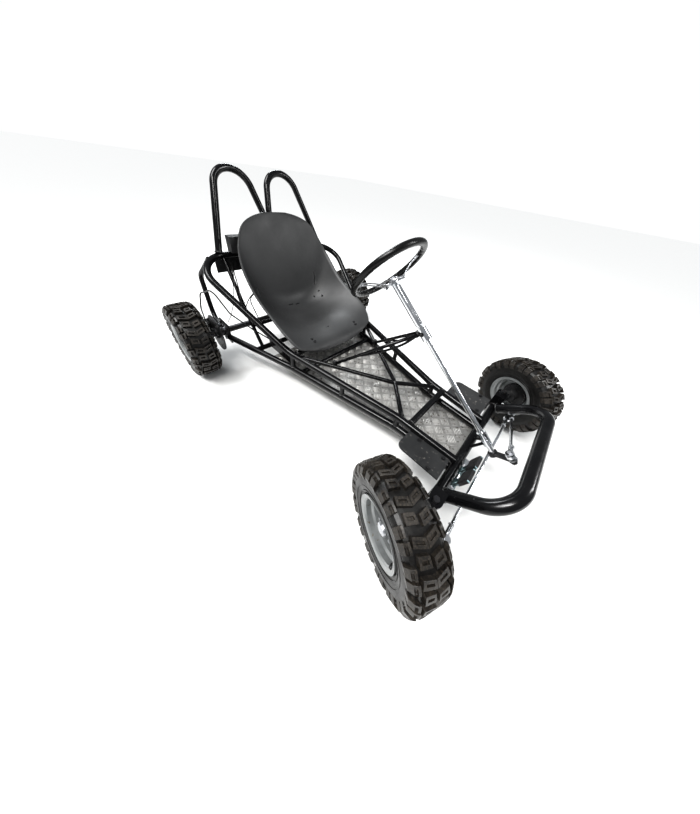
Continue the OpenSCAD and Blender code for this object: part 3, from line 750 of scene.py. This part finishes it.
def hole_cutter(row, t, radius):
    """A round cutter pushed through the seat along its normal."""
    p, normal = seat_point(row, t), seat_normal(row, t)
    part = Parts()
    part.turn(p - normal * 0.03, normal, [(0, radius), (0.06, radius)], 12)
    obj = add_mesh("cutter", part.verts, part.faces, ["seat"], smooth=False)
    fix_normals(obj)
    return obj


def seat_normal(row, t):
    along = seat_point(row + 0.05, t) - seat_point(row - 0.05, t)
    over = seat_point(row, t + 0.02) - seat_point(row, t - 0.02)
    return along.cross(over).normalized()


def make_seat():
    obj = seat_mesh()
    for row, t in SEAT_HOLES:
        cut_away(obj, hole_cutter(row, t, 4.2 * MM))
    for start, stop, t0, t1 in SEAT_SLITS:
        cut_away(obj, slit_cutter(start, stop, t0, t1))
    for row, t0, t1 in SEAT_DASHES:
        cut_away(obj, cross_slit_cutter(row, t0, t1))
    soft_edge = obj.modifiers.new("edge", "BEVEL")
    soft_edge.width = 1.2 * MM
    soft_edge.segments = 2
    soft_edge.limit_method = "ANGLE"
    soft_edge.angle_limit = math.radians(50)
    apply_modifiers(obj)
    place(obj, "chassis", "seat_plastic", ["seat_shell"])
    shade_pads_under_holes()
    # dark pads under the holes and slits: painted shade
    seat_rim()
    seat_bolts()


def ribbon_cutter(centres, widths, normals):
    """A closed slab through the seat: rows of four corners joined along a path."""
    verts, faces = [], []
    for p, w, n in zip(centres, widths, normals):
        for sx, sn in ((-1, -1), (1, -1), (1, 1), (-1, 1)):
            verts.append(p + w * sx + n * (0.022 * sn))
    count = len(centres)
    for k in range(count - 1):
        for i in range(4):
            j = (i + 1) % 4
            faces.append((4 * k + i, 4 * k + j, 4 * k + 4 + j, 4 * k + 4 + i))
    faces += [(3, 2, 1, 0), tuple(4 * (count - 1) + i for i in range(4))]
    obj = add_mesh("cutter", verts, faces, ["seat"], smooth=False)
    fix_normals(obj)
    return obj


def slit_cutter(start, stop, t0, t1, half=3.0 * MM):
    """A lengthwise slit that leads from share t0 of the seat's half-width to t1."""
    spots = [(start + (stop - start) * k / 8, t0 + (t1 - t0) * k / 8) for k in range(9)]
    centres = [seat_point(r, t) for r, t in spots]
    normals = [seat_normal(r, t) for r, t in spots]
    widths = []
    for r, t in spots:
        side = seat_point(r, t + 0.02) - seat_point(r, t - 0.02)
        taper = math.sin(math.pi * (r - start + 0.06) / (stop - start + 0.12)) ** 0.35
        widths.append(side.normalized() * half * taper)
    return ribbon_cutter(centres, widths, normals)


def cross_slit_cutter(row, t0, t1, half=1.8 * MM):
    """A short slit across the seat."""
    shares = [t0 + (t1 - t0) * k / 5 for k in range(6)]
    centres = [seat_point(row, t) for t in shares]
    normals = [seat_normal(row, t) for t in shares]
    widths = [(seat_point(row + 0.05, t) - seat_point(row - 0.05, t)).normalized() * half
              for t in shares]
    return ribbon_cutter(centres, widths, normals)


def cut_away(obj, cutter):
    mod = obj.modifiers.new("cut", "BOOLEAN")
    mod.operation = "DIFFERENCE"
    mod.object = cutter
    mod.solver = "EXACT"
    apply_modifiers(obj)
    bpy.data.objects.remove(cutter)


def shade_pads_under_holes():
    """Dark pads under the shell's holes and slits: painted shade, so that the holes and slits look black as
    if in shadow.
    """
    pads = [(r - 0.12, r + 0.12, t - 0.05, t + 0.05) for r, t in SEAT_HOLES]
    pads += [(r0 - 0.15, r1 + 0.15, min(t0, t1) - 0.05, max(t0, t1) + 0.05)
             for r0, r1, t0, t1 in SEAT_SLITS]
    pads += [(r - 0.15, r + 0.15, t0 - 0.03, t1 + 0.03) for r, t0, t1 in SEAT_DASHES]
    verts, faces = [], []
    steps = 6
    for r0, r1, t0, t1 in pads:
        first = len(verts)
        for depth in (SEAT_THICK + 0.3 * MM, SEAT_THICK + 1.2 * MM):
            for i in range(steps + 1):
                for j in range(steps + 1):
                    r, t = r0 + (r1 - r0) * i / steps, t0 + (t1 - t0) * j / steps
                    t = max(-0.99, min(0.99, t))
                    verts.append(seat_point(r, t) + seat_normal(r, t) * depth)
        w = steps + 1
        layer = w * w
        for i in range(steps):
            for j in range(steps):
                a = first + i * w + j
                faces.append((a, a + 1, a + w + 1, a + w))
                faces.append((a + layer, a + layer + w, a + layer + w + 1, a + layer + 1))
        edge = ([i * w for i in range(steps)] + [steps * w + j for j in range(steps)]
                + [i * w + steps for i in range(steps, 0, -1)] + [j for j in range(steps, 0, -1)])
        for a, b in zip(edge, edge[1:] + edge[:1]):
            faces.append((first + a, first + b, first + b + layer, first + a + layer))
    # painted shade behind each hole and slit
    obj = add_mesh("painted_shade_pads", verts, faces, ["bolt_black"])
    fix_normals(obj)
    place(obj, "chassis", "seat_plastic")


def seat_rim():
    """The rounded lip moulded round the shell's edge."""
    last = len(SEAT_STATIONS) - 1
    steps = 90
    loop = [seat_point(last * k / steps, -1) for k in range(steps + 1)]
    loop += [seat_point(last, -1 + 2 * k / 14) for k in range(1, 15)]
    loop += [seat_point(last * (1 - k / steps), 1) for k in range(1, steps + 1)]
    loop += [seat_point(0, 1 - 2 * k / 20) for k in range(1, 20)]
    n = len(loop)
    verts, faces, sides = [], [], 8
    for k in range(n):
        a, b = side_frame(loop[(k + 1) % n] - loop[k - 1])
        for i in range(sides):
            s = TAU * i / sides
            verts.append(loop[k] - Vector((0, 0, 2 * MM)) + (a * math.cos(s) + b * math.sin(s)) * 3.6 * MM)
    for k in range(n):
        nxt = (k + 1) % n
        for i in range(sides):
            j = (i + 1) % sides
            faces.append((k * sides + i, k * sides + j, nxt * sides + j, nxt * sides + i))
    obj = add_mesh("seat_lip", verts, faces, ["seat"])
    fix_normals(obj)
    place(obj, "chassis", "seat_plastic")


def seat_bolts():
    bolts = Parts()
    for side in (-1, 1):
        row, t = 2.35, side * 0.58
        n = seat_normal(row, t)
        up = n if n.z > 0 else -n
        base = seat_point(row, t) + up * 0.4 * MM
        bolts.turn(base, up, [(0, 0.0105), (0.0012, 0.0105), (0.0018, 0.0088), (0.0032, 0.0078),
                              (0.0052, 0.005), (0.0056, 0.002)], 24)
    bolts.make("seat_bolt_heads", "bolt_black", "chassis", "nut_black")


# ---------- floor ----------

BAR_GROUP = 39.0              # millimetres between neighbouring groups of bars
BAR_GAP = 6.4
BAR_HALF = 16.5
BAR_WIDE = 1.7
BAR_HIGH = 1.3


def make_floor_bars():
    """Five-bar tread: groups of raised bars that turn a right angle from one group to the next."""
    lo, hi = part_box("floor_plate")
    top = hi.z
    corners = [(-14, 128), (-235, 141), (-760, 253), (-894, 285)]

    def half_width(x):
        for (x0, w0), (x1, w1) in zip(corners, corners[1:]):
            if x1 <= x <= x0:
                return w0 + (w1 - w0) * (x0 - x) / (x0 - x1)
        return 0

    verts, faces = [], []
    reach = 26
    turn = math.radians(45)
    for i in range(-reach, reach):
        for j in range(-reach, reach):
            a, b = i * BAR_GROUP, j * BAR_GROUP
            cx = -440 + a * math.cos(turn) - b * math.sin(turn)
            cy = a * math.sin(turn) + b * math.cos(turn)
            if not -905 < cx < 0 or abs(cy) > 290:
                continue
            lead = turn if (i + j) % 2 else turn + math.pi / 2
            for k in range(-2, 3):
                ox = cx - math.sin(lead) * k * BAR_GAP
                oy = cy + math.cos(lead) * k * BAR_GAP
                length = BAR_HALF - abs(k) * 0.6
                ends = [(ox + math.cos(lead) * length * e, oy + math.sin(lead) * length * e)
                        for e in (-1, 1)]
                if all(-890 < x < -20 and abs(y) < half_width(x) - 4 for x, y in ends):
                    add_bar(verts, faces, ox, oy, lead, length, top)
    # the bars take the lighter tread_bar copy: painted light against the plate's painted shade
    obj = add_mesh("floor_tread", verts, faces, ["tread_bar"])
    place(obj, "chassis", "checker_aluminium")


def add_bar(verts, faces, x, y, lead, length, top):
    """A lens-shaped raised bar."""
    along = Vector((math.cos(lead), math.sin(lead), 0))
    across = Vector((-along.y, along.x, 0))
    shape = [(-1, 0.05, 0), (-0.72, 0.72, 0.62), (-0.3, 1, 1), (0.3, 1, 1), (0.72, 0.72, 0.62),
             (1, 0.05, 0)]
    first = len(verts)
    for u, w, h in shape:
        centre = ahead(x, y, 0) + along * (u * length * MM)
        centre.z = top
        for side, lift in ((-1, -0.1), (-0.45, h), (0.45, h), (1, -0.1)):
            verts.append(centre + across * (side * w * BAR_WIDE * MM)
                         + Vector((0, 0, lift * BAR_HIGH * MM)))
    for k in range(len(shape) - 1):
        for i in range(3):
            p = first + 4 * k + i
            faces.append((p, p + 4, p + 5, p + 1))


# ---------- steering wheel ----------

RING_R = 133 * MM
# Degrees round the column from the driver's side: one spoke up the slope, two square to it,
# all turned with the wheel as the photograph shows it
SPOKES = (24, 114, 294)
BOSS_SCREWS = (69, 204, 339)


def column_place(along):
    """A point on the column's axis, along millimetres down from the wheel's hub."""
    foot = Vector(next(j for j in frame["record"]["behaviour"]["joints"]
                       if j["name"] == "steering_turn")["pos_m"])
    return foot - DOWN_COLUMN * ((662 - along) * MM)


def make_steering_wheel():
    hub = column_place(0)
    up = Vector((0, 1, 0))
    back = DOWN_COLUMN.cross(up).normalized()
    if back.z > 0:
        back = -back

    def at(r, angle, depth):
        return (hub + (back * math.cos(angle) + up * math.sin(angle)) * r - DOWN_COLUMN * depth)

    verts, faces = [], []
    rows = [(16, 8.5, 28), (27, 9, 20), (36, 9.5, 14.5), (52, 21, 12), (74, 35, 11),
            (95, 46, 11), (112, 50.5, 12.5), (126, 52, 15.5)]
    thick = 3.4
    for spoke in map(math.radians, SPOKES):
        first = len(verts)
        lanes = (-1, -0.42, 0.42, 1)
        for r, depth, half in rows:
            for lane in lanes:
                for layer in (0, 1):
                    p = at(r * MM, spoke, (depth - layer * thick) * MM)
                    side = (up * math.cos(spoke) - back * math.sin(spoke))
                    verts.append(p + side * (lane * half * MM))
        n = len(lanes)

        def vid(k, lane, layer):
            return first + (k * n + lane) * 2 + layer

        hole = range(3, 6)
        for k in range(len(rows) - 1):
            for lane in range(n - 1):
                if lane == 1 and k in hole:
                    continue
                for layer in (0, 1):
                    faces.append((vid(k, lane, layer), vid(k + 1, lane, layer),
                                  vid(k + 1, lane + 1, layer), vid(k, lane + 1, layer)))
            for lane in (0, n - 1):
                faces.append((vid(k, lane, 0), vid(k + 1, lane, 0), vid(k + 1, lane, 1),
                              vid(k, lane, 1)))
            if k in hole:
                for lane in (1, 2):
                    faces.append((vid(k, lane, 0), vid(k + 1, lane, 0), vid(k + 1, lane, 1),
                                  vid(k, lane, 1)))
        for k in (0, len(rows) - 1, hole[0], hole[-1] + 1):
            for lane in range(n - 1):
                if k in (hole[0], hole[-1] + 1) and lane != 1:
                    continue
                faces.append((vid(k, lane, 0), vid(k, lane + 1, 0), vid(k, lane + 1, 1),
                              vid(k, lane, 1)))
    obj = add_mesh("wheel_spokes", verts, faces, ["wheel_metal"], smooth=True)
    fix_normals(obj)
    bevel(obj, 0.8 * MM, 2, 50)
    place(obj, "steering", "spoke_aluminium", ["steering_wheel_spokes"])
    boss = Parts()
    boss.turn(at(0, 0, 3 * MM), -DOWN_COLUMN, [(0, 0.0355), (0.003, 0.036), (0.0062, 0.0358),
              (0.0068, 0.034), (0.0072, 0.018), (0.0142, 0.017), (0.0152, 0.0155)], 48)
    boss.turn(at(0, 0, 16 * MM), -DOWN_COLUMN, [(0, 0.0125), (0.007, 0.0125), (0.0085, 0.0108)], 6)
    for screw in BOSS_SCREWS:
        base = at(25 * MM, math.radians(screw), 9.4 * MM)
        boss.turn(base, -DOWN_COLUMN, [(0, 0.007), (0.0012, 0.007), (0.0016, 0.0052),
                                       (0.0055, 0.0052), (0.0062, 0.0044)], 20)
    boss.make("wheel_boss", "zinc", "steering", "zinc_steel", smooth=False)
    rivets = Parts()
    for t in map(math.radians, SPOKES):
        for lane in (-1, 1):
            side = (up * math.cos(t) - back * math.sin(t)) * (9 * MM * lane)
            rivets.turn(at(114 * MM, t, 51 * MM) + side, -DOWN_COLUMN,
                        [(0, 0.0042), (0.0014, 0.0038), (0.0024, 0.002)], 14)
    rivets.make("wheel_rivets", "zinc", "steering", "zinc_steel")
    make_grip(at)


def make_grip(at):
    """Moulded grip: an oval ring with finger waves on its inner side and two seams."""
    steps, sides = 180, 20
    verts, faces = [], []
    for k in range(steps):
        t = TAU * k / steps
        wave = 0.45 * math.sin(t * 36)
        for i in range(sides):
            s = TAU * i / sides
            inner = max(0.0, -math.cos(s))
            r = 11.3 + wave * inner * 1.4
            seam = 0.5 if i in (sides // 4, 3 * sides // 4) else 0
            out = RING_R / MM + (r - seam) * math.cos(s)
            lift = 52 + (r - seam) * math.sin(s)
            verts.append(at(out * MM, t, lift * MM))
    for k in range(steps):
        nxt = (k + 1) % steps
        for i in range(sides):
            j = (i + 1) % sides
            faces.append((k * sides + i, k * sides + j, nxt * sides + j, nxt * sides + i))
    obj = add_mesh("wheel_grip", verts, faces, ["grip"])
    fix_normals(obj)
    place(obj, "steering", "grip_rubber", ["steering_wheel_ring"])


# ---------- column stays ----------

def make_column_stays():
    """Stays from the brace's bosses up to the column clamp, each with a thin rod that forks off."""
    clamp = column_place(662 - 470)
    part = Parts()
    for s in (-1, 1):
        foot, head = ahead(-585, s * 135, 206), clamp + Vector((-14, s * 20, -6)) * MM
        part.tube([foot, head], 6.5 * MM, 16)
        fork = [foot.lerp(head, share) - Vector((0, 0, drop * MM))
                for share, drop in ((0.33, 0), (0.46, 11), (0.7, 23), (0.88, 21), (0.985, 6))]
        part.tube(catmull(fork, 6), 4.5 * MM, 12)
        part.turn(ahead(-585, s * 135, 190), Vector((0, 0, 1)),
                  [(0, 0.0092), (0.001, 0.01), (0.0225, 0.01), (0.024, 0.0086)], 24)
        part.turn(head - Vector((0, s * 0.004, 0)), Vector((0, s, 0)),
                  [(0, 0.0085), (0.008, 0.0085)], 20)
    obj = add_mesh("column_stays", part.verts, part.faces, ["gloss_black"])
    fix_normals(obj)
    place(obj, "chassis", "black_tube", ["column_support"])


# ---------- pedals ----------

def make_pedals():
    names = {"brake_pedal": "brake_pedal_body", "throttle_pedal": "throttle_pedal_body"}
    for node, body in names.items():
        y = middle(node).y / MM
        tilt = Matrix.Rotation(math.radians(14), 4, "Y")
        origin = ahead(26 + 13, y, 116 + 70)
        pad_shape = []
        corner, half_w, half_h = 9, 27, 25
        for cx, cz, start in ((1, 1, 0), (-1, 1, 90), (-1, -1, 180), (1, -1, 270)):
            for step in range(5):
                a = math.radians(start + 22.5 * step)
                pad_shape.append(((half_w - corner) * cx + corner * math.cos(a),
                                  (half_h - corner) * cz + corner * math.sin(a)))
        verts, faces = [], []
        layers = [(-5.6, 0.93), (-4.6, 1.0), (4.6, 1.0), (5.8, 0.94)]
        n = len(pad_shape)
        for depth, scale in layers:
            for y1, z1 in pad_shape:
                p = tilt @ (Vector((depth, y1 * scale, z1 * scale)) * MM)
                verts.append(origin + p)
        for k in range(len(layers) - 1):
            for i in range(n):
                j = (i + 1) % n
                faces.append((k * n + i, k * n + j, (k + 1) * n + j, (k + 1) * n + i))
        faces.append(tuple(range(n)))
        faces.append(tuple((len(layers) - 1) * n + i for i in range(n)))
        for row in range(-3, 4):
            first = len(verts)
            z0 = row * 6.3
            width = 22 if abs(row) < 3 else 18
            for dy, dz, dx in ((-width, -1.5, -5.4), (width, -1.5, -5.4), (width, 1.5, -5.4),
                               (-width, 1.5, -5.4), (-width + 1, -0.8, -7.2), (width - 1, -0.8, -7.2),
                               (width - 1, 0.8, -7.2), (-width + 1, 0.8, -7.2)):
                verts.append(origin + (tilt @ (Vector((dx, dy, z0 + dz)) * MM)))
            for quad in ((4, 5, 6, 7), (0, 1, 5, 4), (1, 2, 6, 5), (2, 3, 7, 6), (3, 0, 4, 7),
                         (0, 3, 2, 1)):
                faces.append(tuple(first + q for q in quad))
        obj = add_mesh(node + "_pad", verts, faces, ["pad"], smooth=False)
        fix_normals(obj)
        place(obj, body, "grip_rubber")
        # the arms' steel has a teal tint: painted reflection of the sky
        plate = Parts()
        for lane in (-11, 11):
            low, high = ahead(29, y + lane, 128), ahead(46.5, y + lane, 207)
            plate.turn(low, high - low, [(0, 0.0044), ((high - low).length, 0.0044)], 16)
        plate.make(node + "_arms", "pedal_steel", body, "pedal_steel")


def make_springs():
    """Return springs wound round the pedal bar."""
    for k, y in enumerate((-75, -179)):
        points = []
        turns, steps = 5, 18
        for i in range(turns * steps + 1):
            t = TAU * i / steps
            across = y - 6.5 + 13 * i / (turns * steps)
            points.append(ahead(26 + 9 * math.cos(t), across, 116 + 9 * math.sin(t)))
        coil = Parts()
        coil.tube(points, 1.3 * MM, 8)
        obj = add_mesh(f"pedal_coil_{k}", coil.verts, coil.faces, ["zinc"])
        fix_normals(obj)
        place(obj, "chassis", "zinc_steel", ["pedal_springs"])


# ---------- welds, fasteners and rod ends ----------

def make_welds():
    """Beads where one tube meets another: (place, direction of the joining tube, its radius)."""
    beads = []
    for s in (-1, 1):
        beads += [
            (ahead(-188, s * 121, 184), Vector((0, 1, 0)), 12.3),
            (ahead(-712, s * 212, 200), Vector((361, s * 218, 13)), 9.4),
            (ahead(-236, s * 113, 183), Vector((-119, s * 118, 4)), 9.4),
            (behind(-76, s * 276, 499), Vector((-202, -s * 168, 505)), 14.4),
            (behind(-79, s * 17, 499), Vector((-58, 0, 148)), 14.4),
            (behind(-80, s * 322, 472), Vector((-94, s * 30, -96)), 11.4),
            (behind(-78, s * 262, 470), Vector((166, s * 10, -214)), 8.4),
            (ahead(17, s * 243, 170), Vector((134, -s * 11, 126)), 19.4),
            (ahead(-235, s * 132, 139), Vector((0, 0, 1)), 10.4),
            (ahead(-480, s * 186, 139), Vector((0, 0, 1)), 10.4),
            (ahead(-480, s * 186, 183), Vector((0, 0, 1)), 10.4),
            (ahead(-745, s * 241, 139), Vector((0, 0, 1)), 10.4),
            (ahead(-728, s * 229, 217), Vector((0, 1, 0)), 11.4),
            (ahead(0, s * 262, 150), Vector((0, 1, 0)), 16.4),
        ]
    beads.append((ahead(-351, 0, 187), Vector((361, 218, 13)), 9.6))
    beads.append((ahead(-351, 0, 187), Vector((361, -218, 13)), 9.6))
    part = Parts()
    for centre, axis, radius in beads:
        part.ring(centre, axis, radius * MM, 1.9 * MM, 48, 8, 0.45, int(radius * 1.6))
    part.make("weld_beads", "weld", "chassis", "black_tube")


def hex_bolt(part, base, axis, size, high, washer=True):
    if washer:
        part.turn(base, axis, [(0, size * 1.35), (0.0014, size * 1.35)], 24)
        base = base + axis.normalized() * 0.0014
    part.turn(base, axis, [(0, size), (high * 0.85, size), (high, size * 0.84)], 6)


def make_fasteners():
    black, bright = Parts(), Parts()
    up = Vector((0, 0, 1))
    for s in (-1, 1):
        hex_bolt(black, ahead(-585, s * 135, 214), up, 0.0085, 0.007)
        for dx in (-1, 1):
            for dz in (-1, 1):
                base = behind(dx * 26, s * 372, 167.5 + dz * 26)
                hex_bolt(bright, base, Vector((0, s, 0)), 0.006, 0.005)
        for x, y in ((-40, 150), (-130, 152), (-60, 226)):
            lift = math.tan(math.radians(10)) * (y - 134)
            hex_bolt(black, ahead(x, s * y, 175.4 + lift), Vector((0, -s * 0.17, 1)), 0.0055, 0.004)
        for x, w in ((-60, 112), (-300, 142), (-520, 190), (-820, 250)):
            bright.turn(ahead(x, s * w, 111), up, [(0, 0.006), (0.0012, 0.0055), (0.002, 0.003)], 16)
    clamp = column_place(662 - 470)
    side = Vector((0, 1, 0))
    for s in (-1, 1):
        base = clamp + side * (s * 0.0165) - DOWN_COLUMN * 0.001
        hex_bolt(black, base, side * s, 0.006, 0.006)
    for y in (-62, -192):
        for dx, dz in ((2, 134), (30, 134)):
            face = 1 if y == -62 else -1
            hex_bolt(bright, ahead(dx, y + face * 2, dz), Vector((0, face, 0)), 0.0045, 0.004)
    black.make("black_bolts", "satin_black", "chassis", "satin_black", smooth=False)
    bright.make("bright_bolts", "zinc", "chassis", "zinc_steel", smooth=False)


def make_rod_ends():
    """Jam nuts and stud nuts of the tie rod and the drag link."""
    def joint_place(name):
        return Vector(next(j for j in frame["record"]["behaviour"]["joints"]
                           if j["name"] == name)["pos_m"])
    right, left_top = joint_place("tie_rod_joint"), joint_place("drag_link_joint")
    left = right + Vector((0, (left_top - right).y, 0))
    tie = Parts()
    along = Vector((0, 1, 0))
    hex_bolt(tie, right + along * 0.0482, along, 0.0085, 0.006, False)
    hex_bolt(tie, left - along * 0.0482, -along, 0.0085, 0.006, False)
    tie.make("tie_rod_nuts", "zinc", "tie_rod_body", "zinc_steel", smooth=False)
    lo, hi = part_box("drag_link")
    eye = Vector((hi.x - 0.0095, lo.y + 0.0115, hi.z - 0.011))
    direction = (eye - left_top).normalized()
    link = Parts()
    hex_bolt(link, left_top + direction * 0.0482, direction, 0.0085, 0.006, False)
    hex_bolt(link, eye - direction * 0.0502, -direction, 0.0085, 0.006, False)
    link.make("drag_link_nuts", "zinc", "drag_link_body", "zinc_steel", smooth=False)
    stud = Parts()
    for way in (-DOWN_COLUMN, DOWN_COLUMN):
        stud.turn(eye + way * 0.0096, way, [(0, 0.0125), (0.0016, 0.0125), (0.002, 0.0118)], 28)
        hex_bolt(stud, eye + way * 0.0115, way, 0.0078, 0.0055, False)
    stud.make("pitman_stud_washers", "zinc", "steering", "zinc_steel", smooth=False)
    down, up = Vector((0, 0, -1)), Vector((0, 0, 1))
    for body, base in (("right_steering_knuckle", right), ("left_steering_knuckle", left)):
        nuts = Parts()
        hex_bolt(nuts, Vector((base.x, base.y, 0.1255)), down, 0.0088, 0.007)
        if body.startswith("left"):
            hex_bolt(nuts, Vector((base.x, base.y, 0.1722)), up, 0.0088, 0.007)
        else:
            hex_bolt(nuts, Vector((base.x, base.y, 0.1565)), up, 0.0088, 0.006)
        nuts.make(body + "_nuts", "zinc", body, "zinc_steel", smooth=False)


# ---------- chain, wiring ----------

def make_chain():
    """Roller chain: pins, rollers and side plates along the loop round both sprockets."""
    lo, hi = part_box("drive_chain")
    y = (lo.y + hi.y) / 2
    axle = Vector((REAR_X, y, HUB_Z))
    shaft = middle("motor_sprocket")
    shaft.y = y
    big, small = 92 * MM, 25.4 * MM
    gap = shaft - axle
    base_angle = math.atan2(gap.z, gap.x)
    spread_angle = math.acos((big - small) / gap.length)
    points = []

    def arc(centre, radius, start, stop, steps):
        for k in range(steps):
            t = start + (stop - start) * k / (steps - 1)
            points.append(centre + Vector((math.cos(t), 0, math.sin(t))) * radius)

    arc(axle, big, base_angle + spread_angle, base_angle - spread_angle + TAU, 60)
    arc(shaft, small, base_angle - spread_angle, base_angle + spread_angle, 16)
    points.append(points[0])
    lengths = [0.0]
    for a, b in zip(points, points[1:]):
        lengths.append(lengths[-1] + (b - a).length)
    links = 2 * round(lengths[-1] / 0.0127 / 2)

    def on_path(distance):
        distance %= lengths[-1]
        for k in range(len(points) - 1):
            if lengths[k + 1] >= distance:
                t = (distance - lengths[k]) / max(lengths[k + 1] - lengths[k], 1e-9)
                return points[k].lerp(points[k + 1], t)
        return points[-1]

    part = Parts()
    step = lengths[-1] / links
    across = Vector((0, 1, 0))
    for k in range(links):
        here, there = on_path(k * step), on_path((k + 1) * step)
        part.turn(here - across * 0.0052, across, [(0, 0.0018), (0.0104, 0.0018)], 8)
        part.turn(here - across * 0.0028, across, [(0, 0.004), (0.0056, 0.004)], 12)
        offset = 0.0034 if k % 2 else 0.0044
        along = (there - here).normalized()
        lift = along.cross(across)
        for side in (-1, 1):
            first = len(part.verts)
            for layer in (0, 1):
                centre_y = side * (offset + layer * 0.0009)
                for u, w in ((-0.0042, 0.0022), (0.0, 0.0044), (0.5, 0.0032), (1.0, 0.0044),
                             (1.0042, 0.0022)):
                    share = min(max(u, 0.0), 1.0)
                    spot = here.lerp(there, share) + along * (-0.0036 if u < 0 else 0.0036 if u > 1 else 0)
                    for sign in (-1, 1):
                        part.verts.append(spot + lift * (sign * w) + across * centre_y)
            for layer in (0, 1):
                start = first + layer * 10
                for q in range(4):
                    part.faces.append((start + 2 * q, start + 2 * q + 2, start + 2 * q + 3,
                                       start + 2 * q + 1))
            for q in range(4):
                for lane in (0, 1):
                    a, b = first + 2 * q + lane, first + 2 * q + 2 + lane
                    part.faces.append((a, b, b + 10, a + 10))
            for end in (0, 8):
                part.faces.append((first + end, first + end + 1, first + end + 11, first + end + 10))
    obj = add_mesh("roller_chain", part.verts, part.faces, ["zinc"], smooth=False)
    fix_normals(obj)
    place(obj, "chassis", "zinc_steel", ["drive_chain"])


def make_wiring():
    """Thin wires clipped along the frame behind the seat, with ties."""
    runs = [
        [behind(-66, -176, 503), behind(-96, -196, 470), behind(-70, -232, 440),
         behind(20, -262, 372), behind(60, -276, 318), behind(30, -262, 262), behind(-20, -200, 296),
         behind(-62, -100, 330)],
        [behind(-60, -188, 503), behind(-92, -214, 466), behind(-46, -246, 428),
         behind(40, -282, 356), behind(82, -284, 296), behind(104, -268, 236), behind(60, -240, 186)],
        [behind(-56, -200, 503), behind(-88, -226, 462), behind(-24, -262, 404),
         behind(34, -300, 330), behind(40, -330, 262), behind(36, -352, 226)],
    ]
    for k, run in enumerate(runs):
        part = Parts()
        part.tube(catmull(run, 8), (2.4 - 0.4 * k) * MM, 8)
        obj = add_mesh(f"wire_{k}", part.verts, part.faces, ["sheath"])
        fix_normals(obj)
        place(obj, "chassis", "cable_sheath")
    ties = Parts()
    ties.ring(behind(-30, -262, 412), Vector((166, -10, -214)), 9.5 * MM, 1.2 * MM, 30, 6)
    ties.ring(behind(50, -270, 310), Vector((166, -10, -214)), 9.5 * MM, 1.2 * MM, 30, 6)
    ties.make("cable_ties", "sheath", "chassis", "cable_sheath")


def make_battery_detail():
    """Lid ribs and terminal caps of the battery box, and fins round the motor."""
    lo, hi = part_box("battery_lid")
    part = Parts()
    for k in range(5):
        y = lo.y + (hi.y - lo.y) * (0.14 + 0.18 * k)
        points = [Vector((lo.x + 0.018, y, hi.z + 0.0002)), Vector((hi.x - 0.018, y, hi.z + 0.0002))]
        part.tube(points, 0.0028, 10)
    for y in (lo.y + 0.03, hi.y - 0.03):
        part.turn(Vector((hi.x - 0.012, y, hi.z - 0.001)), Vector((0, 0, 1)),
                  [(0, 0.007), (0.006, 0.0065), (0.008, 0.005)], 18)
    part.make("battery_lid_ribs", "battery", "chassis", "battery_plastic")
    fins = Parts()
    mlo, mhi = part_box("motor")
    centre = (mlo + mhi) / 2
    for k in range(9):
        y = mlo.y + 0.022 + k * 0.0125
        fins.ring(Vector((centre.x, y, (mlo.z + mhi.z) / 2)), Vector((0, 1, 0)), 0.0555, 0.0017, 64, 6)
    fins.make("motor_fins", "satin_black", "chassis", "satin_black")


MATS = make_materials()
make_camera()
make_stage()
dress_cad_nodes()
make_wheels()
make_seat()
make_floor_bars()
make_steering_wheel()
make_column_stays()
make_pedals()
make_springs()
make_welds()
make_fasteners()
make_rod_ends()
make_chain()
make_wiring()
make_battery_detail()
